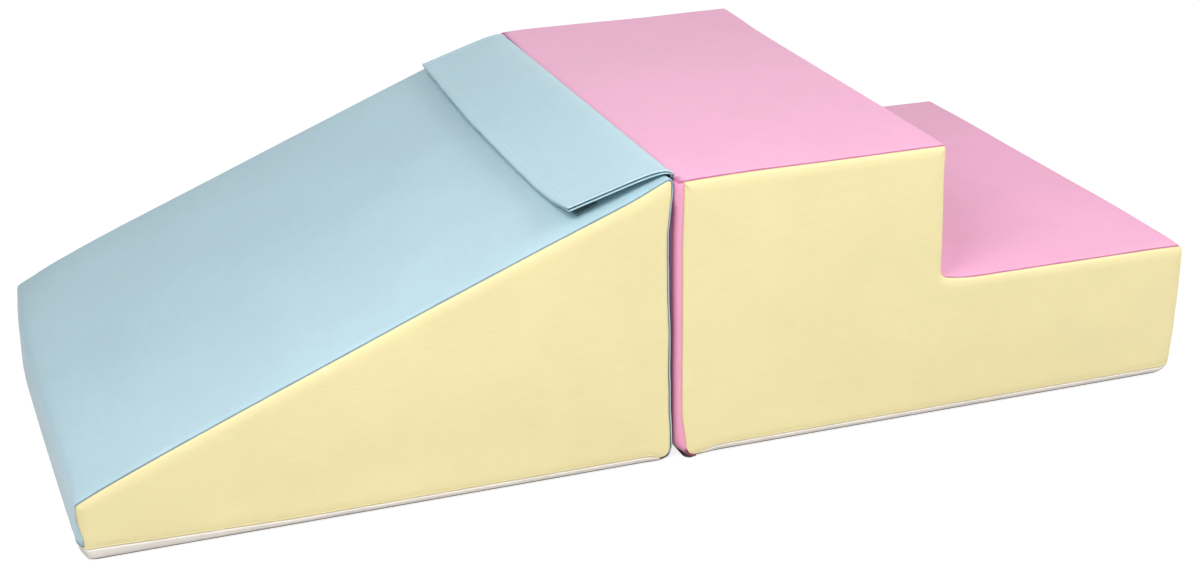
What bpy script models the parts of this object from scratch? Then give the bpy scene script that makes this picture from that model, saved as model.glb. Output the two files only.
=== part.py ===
"""Two-block soft play climber: a foam wedge with a ramp, a foam block with a platform and a
step, and a fabric flap that bridges the joint between them.

Metres, +Z up. X runs from the toe of the ramp to the far end of the step, Y from the near
side to the far side. The origin is on the floor, under the middle of the set.
"""

from math import asin, atan2, cos, hypot, pi, radians, sin, sqrt, tan

import bmesh
import bpy
from mathutils import Vector

# Driving dimensions
set_width = 0.570
block_height = 0.300
slide_length = 0.586
toe_height = 0.064
joint_gap = 0.0005
step_block_length = 0.5855
platform_length = 0.292
step_height = 0.151

# Covers and fits
cover_thickness = 0.0012
fit = 0.0003  # clearance between pieces that lie on each other
seam_valley = 0.0008  # how far a cover dips at a seam
valley_reach = 0.010  # how far from the seam the dip starts
roll_height = 0.012  # the side panel rolls over its top edge: height of the roll
roll_depth = 0.005  # and how far it draws in
wrap_radius = 0.009  # the joint panel turns round its two upright edges
rim_height = 0.009  # how far the base panel turns up the sides
seam_draw = 0.0006  # how far the side panels draw in above the base panel
edge_stop = 0.016  # where an edge goes straight beside a rolled corner

# Corner radii of the two outlines, seen from the near side
toe_foot_radius = 0.012
toe_top_radius = 0.005
ramp_top_radius = 0.008
back_foot_radius = 0.014
joint_foot_radius = 0.025
joint_top_radius = 0.002
platform_edge_radius = 0.004
riser_foot_radius = 0.012
tread_edge_radius = 0.006
end_foot_radius = 0.014
panel_corner_radius = 0.003
foam_edge_radius = 0.002

# Flap
flap_near_inset = 0.016  # from the block's near side to the flap's near end
flap_far_inset = 0.026  # and the same at the far side
flap_reach = 0.107
ply_thickness = 0.0009
flap_rise = 0.007  # the first pull of the curve, up out of the seam
flap_rise_run = 0.013
flap_shoulder_run = 0.034
flap_shoulder_drop = 0.002
flap_tip_height = 0.010  # the free edge's height over the ramp, in the middle of the flap
flap_sag = 0.003  # how much lower the shoulder lies away from the near end
near_corner_lift = 0.011
near_corner_reach = 0.110
far_corner_lift = 0.008
far_corner_reach = 0.330

# Hook and loop strips
strip_width = 0.025
strip_thickness = 0.0012
strip_end_inset = 0.029
hook_edge_margin = 0.008  # from the flap's free edge to the hook strip
loop_down_ramp = 0.073  # from the top of the ramp to the loop strip

# Zip in the base panel
zip_from_far_side = 0.085
zip_end_margin = 0.075  # from the block's end to the end of the slot
tape_overrun = 0.010  # how far the tapes run on past the slot
tape_width = 0.013
tape_thickness = 0.0006
coil_width = 0.0022
coil_height = 0.0016
coil_gap = 0.0010  # room for the slider's blade
slider_length = 0.011
slider_width = 0.0084
slider_plate = 0.0008
slider_flange = 0.0008
slider_blade = 0.0004
slider_tail_share = 0.94  # the tail's width against the nose's
slot_side_room = 0.001
slot_end_room = 0.004
groove_side_room = 0.0015
groove_headroom = 0.001
overrun = 0.010  # how far a cutter passes through what it cuts

# Places that follow from the sizes
half_width = set_width / 2
toe_x = -(slide_length + joint_gap + step_block_length) / 2
slide_back_x = toe_x + slide_length
joint_x = slide_back_x + joint_gap
riser_x = joint_x + platform_length
end_x = joint_x + step_block_length
foam_inset = cover_thickness + seam_draw + fit
ramp_run = slide_length
ramp_rise = block_height - toe_height
zip_y = half_width - zip_from_far_side
flap_half_thickness = ply_thickness + fit / 2
hinge_x = joint_x + joint_top_radius
hinge_z = block_height + flap_half_thickness + fit
ramp_under_tip = block_height - (slide_back_x - hinge_x + flap_reach) * ramp_rise / ramp_run
flap_tip_drop = hinge_z - ramp_under_tip - flap_tip_height
flap_near_y = flap_near_inset - half_width
flap_far_y = half_width - flap_far_inset
roll_angles = [0, radians(22), radians(45), radians(68), radians(90)]
arc_steps = 3
stop_shares = [0, 0.35, 0.7]


def clear_scene():
    for found in list(bpy.data.objects):
        bpy.data.objects.remove(found, do_unlink=True)


def make_material(name, color, roughness):
    material = bpy.data.materials.new(name)
    material.use_nodes = True
    shader = material.node_tree.nodes["Principled BSDF"]
    shader.inputs["Base Color"].default_value = (*color, 1)
    shader.inputs["Roughness"].default_value = roughness
    shader.inputs["Metallic"].default_value = 0
    material.diffuse_color = (*color, 1)
    return material


def make_object(name, mesh_data, finish):
    """One named object from a bmesh, with its own material."""
    bmesh.ops.recalc_face_normals(mesh_data, faces=mesh_data.faces)
    mesh = bpy.data.meshes.new(name)
    mesh_data.to_mesh(mesh)
    mesh_data.free()
    mesh.shade_smooth()
    mesh.set_sharp_from_angle(angle=radians(35))
    made = bpy.data.objects.new(name, mesh)
    bpy.context.scene.collection.objects.link(made)
    color, roughness = finish
    mesh.materials.append(make_material(name, color, roughness))
    return made


# Finishes
blue_leather = ((0.50, 0.68, 0.75), 0.5)
pink_leather = ((0.90, 0.49, 0.68), 0.5)
yellow_leather = ((0.84, 0.76, 0.42), 0.5)
base_fabric = ((0.72, 0.69, 0.66), 0.85)
foam_finish = ((0.86, 0.87, 0.85), 0.9)
strip_finish = ((0.40, 0.56, 0.62), 0.95)
tape_finish = ((0.70, 0.70, 0.70), 0.8)
slider_finish = ((0.55, 0.55, 0.57), 0.35)


# Outlines in the XZ plane
def corner(x, z, radius=0.0, stop_before=False, stop_after=False):
    return (x, z, radius, stop_before, stop_after)


def outline(corners, inset=0.0):
    """A closed outline, clockwise from the lower left, drawn in by inset at every edge.

    A rounded corner keeps its arc's centre, so its radius shrinks with the inset, and an
    inner corner's grows. A corner with no radius gives one point. Where a stop is asked for,
    a few more points lie on the straight edge beside the corner, out to edge_stop.
    """
    points = []
    count = len(corners)
    for index, (x, z, radius, stop_before, stop_after) in enumerate(corners):
        before = corners[index - 1]
        after = corners[(index + 1) % count]
        into = Vector((x - before[0], z - before[1])).normalized()
        out = Vector((after[0] - x, after[1] - z)).normalized()
        into_normal = Vector((into.y, -into.x))
        out_normal = Vector((out.y, -out.x))
        spot = Vector((x, z)) + (into_normal + out_normal) * (inset / (1 + into_normal.dot(out_normal)))
        if radius == 0:
            points.append(spot)
            continue
        turn = atan2(into.x * out.y - into.y * out.x, into.dot(out))
        side = 1 if turn < 0 else -1
        bend = max(radius - side * inset, fit)
        start = spot - into * (bend * tan(abs(turn) / 2))
        end = spot + out * (bend * tan(abs(turn) / 2))
        centre = start + into_normal * (bend * side)
        arm = start - centre
        far = radius * tan(abs(turn) / 2) + edge_stop
        if stop_before:
            first = Vector((x, z)) - into * far + into_normal * inset
            points += [first.lerp(start, share) for share in stop_shares]
        for step in range(arc_steps + 1):
            angle = turn * step / arc_steps
            points.append(centre + Vector((arm.x * cos(angle) - arm.y * sin(angle),
                                           arm.x * sin(angle) + arm.y * cos(angle))))
        if stop_after:
            last = Vector((x, z)) + out * far + out_normal * inset
            points += [last.lerp(end, share) for share in reversed(stop_shares)]
    return points


def distance_to(path, x, z):
    """Distance from a point to an open run of straight lines."""
    spot = Vector((x, z))
    best = None
    for start, end in zip(path, path[1:]):
        line = end - start
        share = (spot - start).dot(line) / max(line.length_squared, fit * fit)
        away = (start + line * min(max(share, 0), 1) - spot).length
        best = away if best is None else min(best, away)
    return best


def roll(distance, height, depth):
    """How far a rolled edge has drawn in at a distance from the seam: a quarter ellipse."""
    if distance >= height:
        return 0.0
    return depth * (1 - sqrt(1 - (1 - max(distance, 0) / height) ** 2))


def arc_inset(z, radius, offset=0.0):
    """How far a foot corner of this radius lies in from the upright, at height z."""
    if z >= radius:
        return offset
    reach = (radius - offset) ** 2 - (radius - z) ** 2
    return radius - sqrt(max(reach, 0))


# The two blocks: where their corners are, and which edges roll and which are wrapped
slide_corners = [
    corner(toe_x, 0, toe_foot_radius),
    corner(toe_x, toe_height, toe_top_radius),
    corner(slide_back_x, block_height, ramp_top_radius),
    corner(slide_back_x, 0, back_foot_radius),
]
step_corners = [
    corner(joint_x, 0, joint_foot_radius),
    corner(joint_x, block_height, joint_top_radius),
    corner(riser_x, block_height, platform_edge_radius),
    corner(riser_x, step_height, riser_foot_radius),
    corner(end_x, step_height, tread_edge_radius),
    corner(end_x, 0, end_foot_radius),
]
arc_points = arc_steps + 1
slide_outline = outline(slide_corners)
step_outline = outline(step_corners)
slide_rolled = slide_outline
step_rolled = step_outline[2 * arc_points - 1:]
step_wrapped = step_outline[:2 * arc_points]


def side_draw(block, x, z, offset=0.0):
    """How far the side of a block lies in from half_width at a place on its side."""
    rolled = slide_rolled if block == "slide" else step_rolled
    draw = roll(distance_to(rolled, x, z) - offset, roll_height - offset, roll_depth - offset)
    if block == "step":
        away = distance_to(step_wrapped, x, z) - offset
        draw = max(draw, roll(away, wrap_radius - offset, wrap_radius - offset))
    return draw


# Closed bodies from rings and grids of points
def add_loop(mesh_data, points):
    return [mesh_data.verts.new(point) for point in points]


def bridge(mesh_data, first, second, closed):
    count = len(first)
    for index in range(count if closed else count - 1):
        after = (index + 1) % count
        mesh_data.faces.new((first[index], first[after], second[after], second[index]))


def shell_from_rings(outer_rings, inner_rings):
    """A dished panel: two sets of rings, joined at the first ring and filled at the last."""
    mesh_data = bmesh.new()
    outer = [add_loop(mesh_data, ring) for ring in outer_rings]
    inner = [add_loop(mesh_data, ring) for ring in inner_rings]
    for rings in (outer, inner):
        for first, second in zip(rings, rings[1:]):
            bridge(mesh_data, first, second, True)
        mesh_data.faces.new(rings[-1])
    bridge(mesh_data, outer[0], inner[0], True)
    return mesh_data


def solid_from_rings(rings):
    """A solid lofted through closed rings, filled at both ends."""
    mesh_data = bmesh.new()
    loops = [add_loop(mesh_data, ring) for ring in rings]
    for first, second in zip(loops, loops[1:]):
        bridge(mesh_data, first, second, True)
    mesh_data.faces.new(loops[0])
    mesh_data.faces.new(loops[-1])
    return mesh_data


def sheet_from_grids(outer, inner):
    """A thick sheet between two grids of points with as many rows and columns."""
    mesh_data = bmesh.new()
    top = [add_loop(mesh_data, row) for row in outer]
    under = [add_loop(mesh_data, row) for row in inner]
    for grid in (top, under):
        for first, second in zip(grid, grid[1:]):
            bridge(mesh_data, first, second, False)
    for row in (0, -1):
        bridge(mesh_data, top[row], under[row], False)
    for column in (0, -1):
        bridge(mesh_data, [row[column] for row in top], [row[column] for row in under], False)
    return mesh_data


def extruded(points, x_start, x_end, tail_share=1.0):
    """A YZ section run along X, with its width at the end as a share of the start's."""
    mesh_data = bmesh.new()
    middle = sum(point[0] for point in points) / len(points)
    start = add_loop(mesh_data, [(x_start, y, z) for y, z in points])
    end = add_loop(mesh_data, [(x_end, middle + (y - middle) * tail_share, z) for y, z in points])
    bridge(mesh_data, start, end, True)
    mesh_data.faces.new(start)
    mesh_data.faces.new(end)
    return mesh_data


def cutter_box(name, low, high):
    mesh_data = bmesh.new()
    bmesh.ops.create_cube(mesh_data, size=1)
    for vert in mesh_data.verts:
        vert.co = Vector([a + (b - a) * (c + 0.5) for a, b, c in zip(low, high, vert.co)])
    made = make_object(name, mesh_data, tape_finish)
    made.hide_render = True
    made.display_type = "WIRE"
    return made


def cut(target, cutter):
    boolean = target.modifiers.new(cutter.name, "BOOLEAN")
    boolean.operation = "DIFFERENCE"
    boolean.solver = "EXACT"
    boolean.object = cutter


# Side panels
def panel_corners(block):
    """The side panel's own outline: the block's above the base panel's rim."""
    foot = rim_height + fit
    if block == "slide":
        back = slide_back_x - arc_inset(foot, back_foot_radius)
        return [
            corner(toe_x + arc_inset(foot, toe_foot_radius), foot, panel_corner_radius, stop_before=True),
            corner(toe_x, toe_height, toe_top_radius),
            corner(slide_back_x, block_height, ramp_top_radius),
            corner(back, foot, panel_corner_radius, stop_after=True),
        ]
    left = joint_x + wrap_radius + fit
    end = end_x - arc_inset(foot, end_foot_radius)
    return [
        corner(left, foot, joint_foot_radius - wrap_radius),
        corner(left, block_height, joint_top_radius, stop_before=True),
        corner(riser_x, block_height, platform_edge_radius),
        corner(riser_x, step_height, riser_foot_radius),
        corner(end_x, step_height, tread_edge_radius),
        corner(end, foot, panel_corner_radius, stop_after=True),
    ]


def side_panel(name, block, side):
    """A crowned side panel that rolls over its upper edges to meet the top cover."""
    corners = panel_corners(block)
    outer_rings, inner_rings = [], []
    for angle in roll_angles:
        spread = 1 - cos(angle)
        for rings, offset in ((outer_rings, 0.0), (inner_rings, cover_thickness)):
            inset = seam_draw + offset + (roll_height - offset) * spread
            ring = []
            for x, z in outline(corners, inset):
                low = roll(z - rim_height - offset, rim_height, seam_draw)
                draw = offset + max(side_draw(block, x, z, offset), low)
                ring.append((x, side * (half_width - draw), z))
            rings.append(ring)
    return make_object(name, shell_from_rings(outer_rings, inner_rings), yellow_leather)


# Covers that run across the width
def seam_rows():
    """Places across the width for a cover that ends at a rolled side: (y, how far it dips)."""
    edge = half_width - roll_depth - fit
    half = [(edge, seam_valley), (edge - valley_reach / 3, seam_valley / 4), (edge - valley_reach, 0.0)]
    return [(-y, dip) for y, dip in half] + [(y, dip) for y, dip in reversed(half)]


def foot_arc(foot_x, radius, direction, inset, seam_z):
    """Points down a foot corner to its seam, for a cover drawn in by inset."""
    bend = max(radius - inset, fit)
    last = asin(min((radius - seam_z) / bend, 1))
    points = []
    for step in range(arc_points):
        angle = last * step / arc_steps
        points.append(Vector((foot_x + direction * (radius - bend * cos(angle)),
                              radius - bend * sin(angle))))
    return points


def ramp_path(inset):
    """The ramp cover's line: up the toe, along the ramp, over the top and down the back."""
    seam_z = rim_height + fit
    rounded = outline(slide_corners, inset)
    toe = foot_arc(toe_x, toe_foot_radius, 1, inset, seam_z)
    back = foot_arc(slide_back_x, back_foot_radius, -1, inset, seam_z)
    return toe[::-1] + rounded[arc_points:3 * arc_points] + back


def tread_path(inset):
    """The step cover's line: from the flap's seam over platform, riser, tread and end."""
    rounded = outline(step_corners, inset)
    end = foot_arc(end_x, end_foot_radius, -1, inset, rim_height + fit)
    return rounded[arc_points:5 * arc_points] + end


def banded_cover(name, path, finish):
    grids = []
    for offset in (0.0, cover_thickness):
        grids.append([[(x, y, z) for x, z in path(dip + offset)] for y, dip in seam_rows()])
    return make_object(name, sheet_from_grids(*grids), finish)


def joint_panel():
    """The step block's panel at the joint, wrapped round its two upright edges."""
    seam_z = rim_height + fit
    top = block_height - joint_top_radius - fit
    drops = [roll_height, roll_height / 2, roll_height / 4, 0.0]
    grids = []
    for offset in (0.0, cover_thickness):
        grid = []
        for side in (-1, 1):
            angles = roll_angles if side > 0 else roll_angles[::-1]
            for angle in angles:
                bend = wrap_radius - offset
                inset = wrap_radius - bend * cos(angle)
                flat_y = half_width - wrap_radius + bend * sin(angle)
                line = foot_arc(joint_x, joint_foot_radius, 1, inset, seam_z)[::-1]
                line += [Vector((joint_x + inset, top - drop)) for drop in drops]
                row = []
                for x, z in line:
                    over = roll(block_height - z - offset, roll_height - offset, roll_depth - offset)
                    row.append((x, side * min(flat_y, half_width - offset - over), z))
                grid.append(row)
        grids.append(grid)
    return make_object("step_joint_panel", sheet_from_grids(*grids), pink_leather)


# Base panels
def base_corner(kind):
    """How the base panel's plan corner draws in: pairs of (x, y)."""
    height, depth = (wrap_radius, wrap_radius) if kind == "wrapped" else (roll_height, roll_depth)
    return [(height * (1 - cos(angle)), depth * (1 - sin(angle))) for angle in roll_angles]


def base_rings(left_x, right_x, left_radius, right_radius, left_kind, offset):
    """Rings of the base panel from its rim down and in to the flat underside."""
    rings = []
    for angle in reversed(roll_angles):
        bend = rim_height - offset
        z = rim_height - bend * cos(angle)
        y_in = rim_height - bend * sin(angle) + seam_draw
        x_left = left_x + arc_inset(z, left_radius, offset)
        x_right = right_x - arc_inset(z, right_radius, offset)
        left = base_corner(left_kind)
        right = base_corner("rolled")
        ring = []
        for x, y, side_x, side_y in (
            [(x_left, -1, x, y) for x, y in left]
            + [(x_right, -1, -x, y) for x, y in reversed(right)]
            + [(x_right, 1, -x, y) for x, y in right]
            + [(x_left, 1, x, y) for x, y in reversed(left)]
        ):
            ring.append((x + side_x, y * (half_width - y_in - side_y), z))
        rings.append(ring)
    return rings


def base_panels(block, left_x, right_x, left_radius, right_radius, left_kind):
    """The non-slip base in two pieces, a wide one and a narrow one, with the zip between."""
    sizes = (left_x, right_x, left_radius, right_radius, left_kind)
    slot = cutter_box(
        block + "_slot_cutter",
        (left_x + zip_end_margin, zip_y - slider_width / 2 - slot_side_room, -overrun),
        (right_x - zip_end_margin, zip_y + slider_width / 2 + slot_side_room, overrun),
    )
    for name, y_low, y_high in (
        ("base_panel", zip_y - fit / 2, set_width),
        ("base_zip_strip", -set_width, zip_y + fit / 2),
    ):
        rings = [base_rings(*sizes, offset) for offset in (0.0, cover_thickness)]
        panel = make_object(block + "_" + name, shell_from_rings(*rings), base_fabric)
        half = cutter_box(
            block + "_" + name + "_cutter",
            (left_x - overrun, y_low, -overrun),
            (right_x + overrun, y_high, rim_height + overrun),
        )
        cut(panel, half)
        cut(panel, slot)


# Zips
def zip_tape(name, side, x_start, x_end):
    """A zip tape with its coil along the edge, as one run section."""
    low = cover_thickness + fit
    top = low + tape_thickness
    inner = coil_gap / 2
    section = [
        (inner, low),
        (inner + tape_width, low),
        (inner + tape_width, top),
        (inner + coil_width, top),
        (inner + coil_width, top + coil_height),
        (inner, top + coil_height),
    ]
    placed = [(zip_y + side * y, z) for y, z in section]
    return make_object(name, extruded(placed, x_start, x_end), tape_finish)


def zip_slider(name, x_start):
    """A childproof slider with no pull: two plates, guides past the coils and a blade."""
    tape_low = cover_thickness + fit
    plate_top = tape_low - fit
    plate_low = plate_top - slider_plate
    coil_top = tape_low + tape_thickness + coil_height
    roof_low = coil_top + fit
    guide_low = tape_low + tape_thickness + fit
    half = slider_width / 2
    blade = slider_blade / 2
    right_side = [
        (blade, plate_top),
        (blade, roof_low),
        (half - slider_flange, roof_low),
        (half - slider_flange, guide_low),
        (half, guide_low),
        (half, roof_low + slider_plate),
    ]
    left_side = [(-y, z) for y, z in reversed(right_side)]
    section = [(-half, plate_low), (half, plate_low), (half, plate_top)]
    section += right_side + left_side + [(-half, plate_top)]
    placed = [(zip_y + y, z) for y, z in section]
    mesh_data = extruded(placed, 0.0, slider_length, slider_tail_share)
    made = make_object(name, mesh_data, slider_finish)
    made.location.x = x_start
    return made


def zip_set(block, left_x, right_x):
    slot_start = left_x + zip_end_margin
    slot_end = right_x - zip_end_margin
    for name, side in (("main", -1), ("strip", 1)):
        zip_tape(block + "_zip_tape_" + name, side, slot_start - tape_overrun, slot_end + tape_overrun)
    zip_slider(block + "_zip_slider", slot_start + slot_end_room)


def groove_cutter(block, left_x, right_x):
    """The channel in the foam that gives the zip its room."""
    reach = coil_gap / 2 + tape_width + groove_side_room
    roof = cover_thickness + fit + tape_thickness + coil_height + fit + slider_plate
    return cutter_box(
        block + "_groove_cutter",
        (left_x + zip_end_margin - tape_overrun - slot_end_room, zip_y - reach, -overrun),
        (right_x - zip_end_margin + tape_overrun + slot_end_room, zip_y + reach, roof + groove_headroom),
    )


# Foam
def foam_body(name, block, corners):
    """Cut foam, drawn in under the covers by their thickness, with its lower edges rounded."""
    rings = []
    for angle in reversed(roll_angles):
        inset = seam_valley + roll_height * (1 - cos(angle))
        ring = []
        for x, z in outline(corners, inset):
            low = roll(z - foam_inset, rim_height, rim_height + roll_depth)
            draw = foam_inset + side_draw(block, x, z, foam_inset) + low
            ring.append((x, -(half_width - draw), z))
        rings.append(ring)
    flat = half_width - max(rim_height, wrap_radius) - roll_depth - foam_inset - valley_reach
    rings.append([(x, -flat, z) for x, z in outline(corners)])
    mirrored = [[(x, -y, z) for x, y, z in ring] for ring in reversed(rings)]
    return make_object(name, solid_from_rings(rings + mirrored), foam_finish)


def foam_corner(x, z, radius):
    return corner(x, z, radius, stop_before=True, stop_after=True)


def slide_foam():
    slope = ramp_rise / ramp_run
    ramp_drop = foam_inset * hypot(ramp_run, ramp_rise) / ramp_run
    toe, back = toe_x + foam_inset, slide_back_x - foam_inset
    foam = foam_body("slide_foam_core", "slide", [
        foam_corner(toe, foam_inset, toe_foot_radius - foam_inset),
        corner(toe, toe_height + foam_inset * slope - ramp_drop, toe_top_radius),
        corner(back, block_height - foam_inset * slope - ramp_drop, ramp_top_radius),
        foam_corner(back, foam_inset, back_foot_radius - foam_inset),
    ])
    cut(foam, groove_cutter("slide", toe_x, slide_back_x))


def step_foam():
    """Two glued pieces: a slab under the whole block and a block under the platform."""
    slab_top = step_height - foam_inset
    left, right = joint_x + foam_inset, end_x - foam_inset
    slab = foam_body("step_foam_lower_slab", "step", [
        foam_corner(left, foam_inset, joint_foot_radius - foam_inset),
        foam_corner(left, slab_top, foam_edge_radius),
        corner(riser_x - edge_stop, slab_top),
        corner(riser_x, slab_top),
        corner(riser_x + riser_foot_radius, slab_top),
        corner(right, slab_top, tread_edge_radius),
        foam_corner(right, foam_inset, end_foot_radius - foam_inset),
    ])
    cut(slab, groove_cutter("step", joint_x, end_x))
    riser = riser_x - foam_inset
    foam_body("step_foam_upper_block", "step", [
        foam_corner(left, slab_top + fit, foam_edge_radius),
        foam_corner(left, block_height - foam_inset, joint_top_radius),
        foam_corner(riser, block_height - foam_inset, platform_edge_radius),
        foam_corner(riser, slab_top + fit, foam_edge_radius),
    ])


# Flap
def near_share(y):
    """How much a place across the flap belongs to its lifted near corner, from 0 to 1."""
    return max(0, 1 - (y - flap_near_y) / near_corner_reach) ** 2


def corner_lift(y):
    """How far the flap's free edge lifts towards its two ends."""
    far = max(0, 1 - (flap_far_y - y) / far_corner_reach) ** 2
    return near_share(y) * near_corner_lift + far * far_corner_lift


def flap_point(share, y, height):
    """A point on the flap: share of the way from seam to free edge, height off its middle."""
    lift = corner_lift(y)
    sag = flap_sag * (1 - near_share(y))
    pulls = [
        Vector((0, 0)),
        Vector((-flap_rise_run, flap_rise - sag)),
        Vector((-flap_shoulder_run, -flap_shoulder_drop - sag)),
        Vector((-flap_reach, -flap_tip_drop + lift)),
    ]
    rest = 1 - share
    weights = [rest ** 3, 3 * rest ** 2 * share, 3 * rest * share ** 2, share ** 3]
    place = sum((pull * weight for pull, weight in zip(pulls, weights)), Vector((0, 0)))
    along = Vector((0, 0))
    for first, second, weight in zip(pulls, pulls[1:], (rest ** 2, 2 * rest * share, share ** 2)):
        along += (second - first) * weight
    up = Vector((along.y, -along.x)).normalized()
    place += up * height
    return (hinge_x + place.x, y, hinge_z + place.y)


def share_from_edge(distance, pieces=96):
    """The share at which the flap's middle line is this far from its free edge."""
    walked = 0
    spot = Vector(flap_point(1, 0.0, 0.0))
    for step in range(1, pieces):
        share = 1 - step / pieces
        after = Vector(flap_point(share, 0.0, 0.0))
        walked += (after - spot).length
        if walked >= distance:
            return share
        spot = after
    return 0


def flap_rows(near_y, far_y, count=16):
    """Places across the width, closer together towards the two ends."""
    middle, half = (near_y + far_y) / 2, (far_y - near_y) / 2
    return [middle - half * cos(pi * index / count) for index in range(count + 1)]


def flap_sheet(name, low, high, shares, ends, finish):
    grids = []
    for height in (high, low):
        rows = [[flap_point(share, y, height) for share in shares] for y in flap_rows(*ends)]
        grids.append(rows)
    return make_object(name, sheet_from_grids(*grids), finish)


def flap():
    ply_shares = [0, 0.05, 0.12, 0.2, 0.3, 0.42, 0.56, 0.7, 0.85, 1]
    top, under = flap_half_thickness, -flap_half_thickness
    ends = (flap_near_y, flap_far_y)
    flap_sheet("flap_outer_ply", fit / 2, top, ply_shares, ends, blue_leather)
    flap_sheet("flap_inner_ply", under, -fit / 2, ply_shares, ends, blue_leather)
    hook_end = share_from_edge(hook_edge_margin)
    hook_start = share_from_edge(hook_edge_margin + strip_width)
    hook_steps = 4
    hook_shares = [hook_start + (hook_end - hook_start) * step / hook_steps for step in range(hook_steps + 1)]
    hook_top = under - fit
    strip_end = half_width - strip_end_inset
    flap_sheet("flap_hook_strip", hook_top - strip_thickness, hook_top, hook_shares,
               (-strip_end, strip_end), strip_finish)


def ramp_loop_strip():
    """The loop strip, sewn across the ramp under the flap."""
    slope = Vector((ramp_run, ramp_rise)).normalized()
    up = Vector((-slope.y, slope.x))
    top_corner = Vector((slide_back_x, block_height))
    half = half_width - strip_end_inset
    grids = []
    for height in (fit + strip_thickness, fit):
        rows = []
        for y in (-half, half):
            row = []
            for run in (loop_down_ramp, loop_down_ramp + strip_width):
                place = top_corner - slope * run + up * height
                row.append((place.x, y, place.y))
            rows.append(row)
        grids.append(rows)
    return make_object("slide_ramp_loop_strip", sheet_from_grids(*grids), strip_finish)


def build():
    clear_scene()
    slide_foam()
    banded_cover("slide_ramp_cover", ramp_path, blue_leather)
    side_panel("slide_near_side_panel", "slide", -1)
    side_panel("slide_far_side_panel", "slide", 1)
    base_panels("slide", toe_x, slide_back_x, toe_foot_radius, back_foot_radius, "rolled")
    zip_set("slide", toe_x, slide_back_x)
    ramp_loop_strip()
    step_foam()
    joint_panel()
    banded_cover("step_tread_cover", tread_path, pink_leather)
    side_panel("step_near_side_panel", "step", -1)
    side_panel("step_far_side_panel", "step", 1)
    base_panels("step", joint_x, end_x, joint_foot_radius, end_foot_radius, "wrapped")
    zip_set("step", joint_x, end_x)
    flap()


build()
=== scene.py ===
from math import asin, atan2, cos, pi, radians, sin, sqrt, tan

import bmesh
import bpy
import numpy as np
from mathutils import Euler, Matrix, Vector
from mathutils.geometry import delaunay_2d_cdt


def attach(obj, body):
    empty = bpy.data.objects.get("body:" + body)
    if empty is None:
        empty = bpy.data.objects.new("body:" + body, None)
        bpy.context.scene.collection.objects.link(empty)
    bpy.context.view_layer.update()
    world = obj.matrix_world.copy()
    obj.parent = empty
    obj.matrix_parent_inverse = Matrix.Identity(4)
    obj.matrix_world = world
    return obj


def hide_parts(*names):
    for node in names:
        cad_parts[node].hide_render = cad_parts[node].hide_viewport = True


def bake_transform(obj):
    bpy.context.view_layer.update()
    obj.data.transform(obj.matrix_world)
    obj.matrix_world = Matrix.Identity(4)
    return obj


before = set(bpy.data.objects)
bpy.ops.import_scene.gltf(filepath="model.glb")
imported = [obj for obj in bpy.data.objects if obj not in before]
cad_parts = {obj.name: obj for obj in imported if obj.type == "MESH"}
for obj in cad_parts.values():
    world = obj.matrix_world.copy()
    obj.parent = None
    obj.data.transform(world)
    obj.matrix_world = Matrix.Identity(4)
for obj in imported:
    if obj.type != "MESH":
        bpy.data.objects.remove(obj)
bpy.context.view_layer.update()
print("frame loaded")

# camera, fitted to the photograph
cameraFit = {
    "place": (-0.7100, -2.0066, 0.9582),
    "turnDegrees": (67.69904, 0.33045, -20.28539),
    "lens": 61.9954,
    "sensor": 36,
}


def makeCamera():
    data = bpy.data.cameras.new("photoCamera")
    data.lens = cameraFit["lens"]
    data.sensor_width = cameraFit["sensor"]
    data.clip_start = 0.05
    data.clip_end = 50
    camera = bpy.data.objects.new("photoCamera", data)
    camera.location = cameraFit["place"]
    camera.rotation_euler = Euler([radians(a) for a in cameraFit["turnDegrees"]])
    bpy.context.scene.collection.objects.link(camera)
    bpy.context.scene.camera = camera


makeCamera()


# noise and small helpers
def hashed(cells, seed):
    n = cells[..., 0] * 73856093 ^ cells[..., 1] * 19349663 ^ cells[..., 2] * 83492791 ^ (seed * 2654435761)
    n = (n ^ (n >> 13)) * 1274126177
    n = n ^ (n >> 16)
    return (n & 0xFFFFFF) / float(0xFFFFFF) * 2 - 1


def noiseAt(points, wave, seed=0):
    # smooth noise from -1 to 1, in bumps about wave metres across
    p = np.asarray(points, float) / wave + 137.31
    base = np.floor(p).astype(np.int64)
    f = p - base
    f = f * f * f * (f * (f * 6 - 15) + 10)
    total = np.zeros(p.shape[:-1])
    for dx in (0, 1):
        for dy in (0, 1):
            for dz in (0, 1):
                corner = hashed(base + np.array([dx, dy, dz]), seed)
                wx = f[..., 0] if dx else 1 - f[..., 0]
                wy = f[..., 1] if dy else 1 - f[..., 1]
                wz = f[..., 2] if dz else 1 - f[..., 2]
                total += corner * wx * wy * wz
    return total


def smooth(low, high, value):
    t = np.clip((np.asarray(value, float) - low) / (high - low), 0, 1)
    return t * t * (3 - 2 * t)


def unit(vectors):
    return vectors / np.maximum(np.linalg.norm(vectors, axis=-1, keepdims=True), 1e-12)


# nodes, for the finishes, the world and the repeated parts
def plug(tree, socket, value):
    value = getattr(value, "socket", value)
    if isinstance(value, bpy.types.NodeSocket):
        tree.links.new(value, socket)
    else:
        socket.default_value = value


def addNode(tree, kind, settings=None, sockets=None):
    node = tree.nodes.new(kind)
    for name, value in (settings or {}).items():
        setattr(node, name, value)
    for name, value in (sockets or {}).items():
        plug(tree, node.inputs[name], value)
    return node


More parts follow.
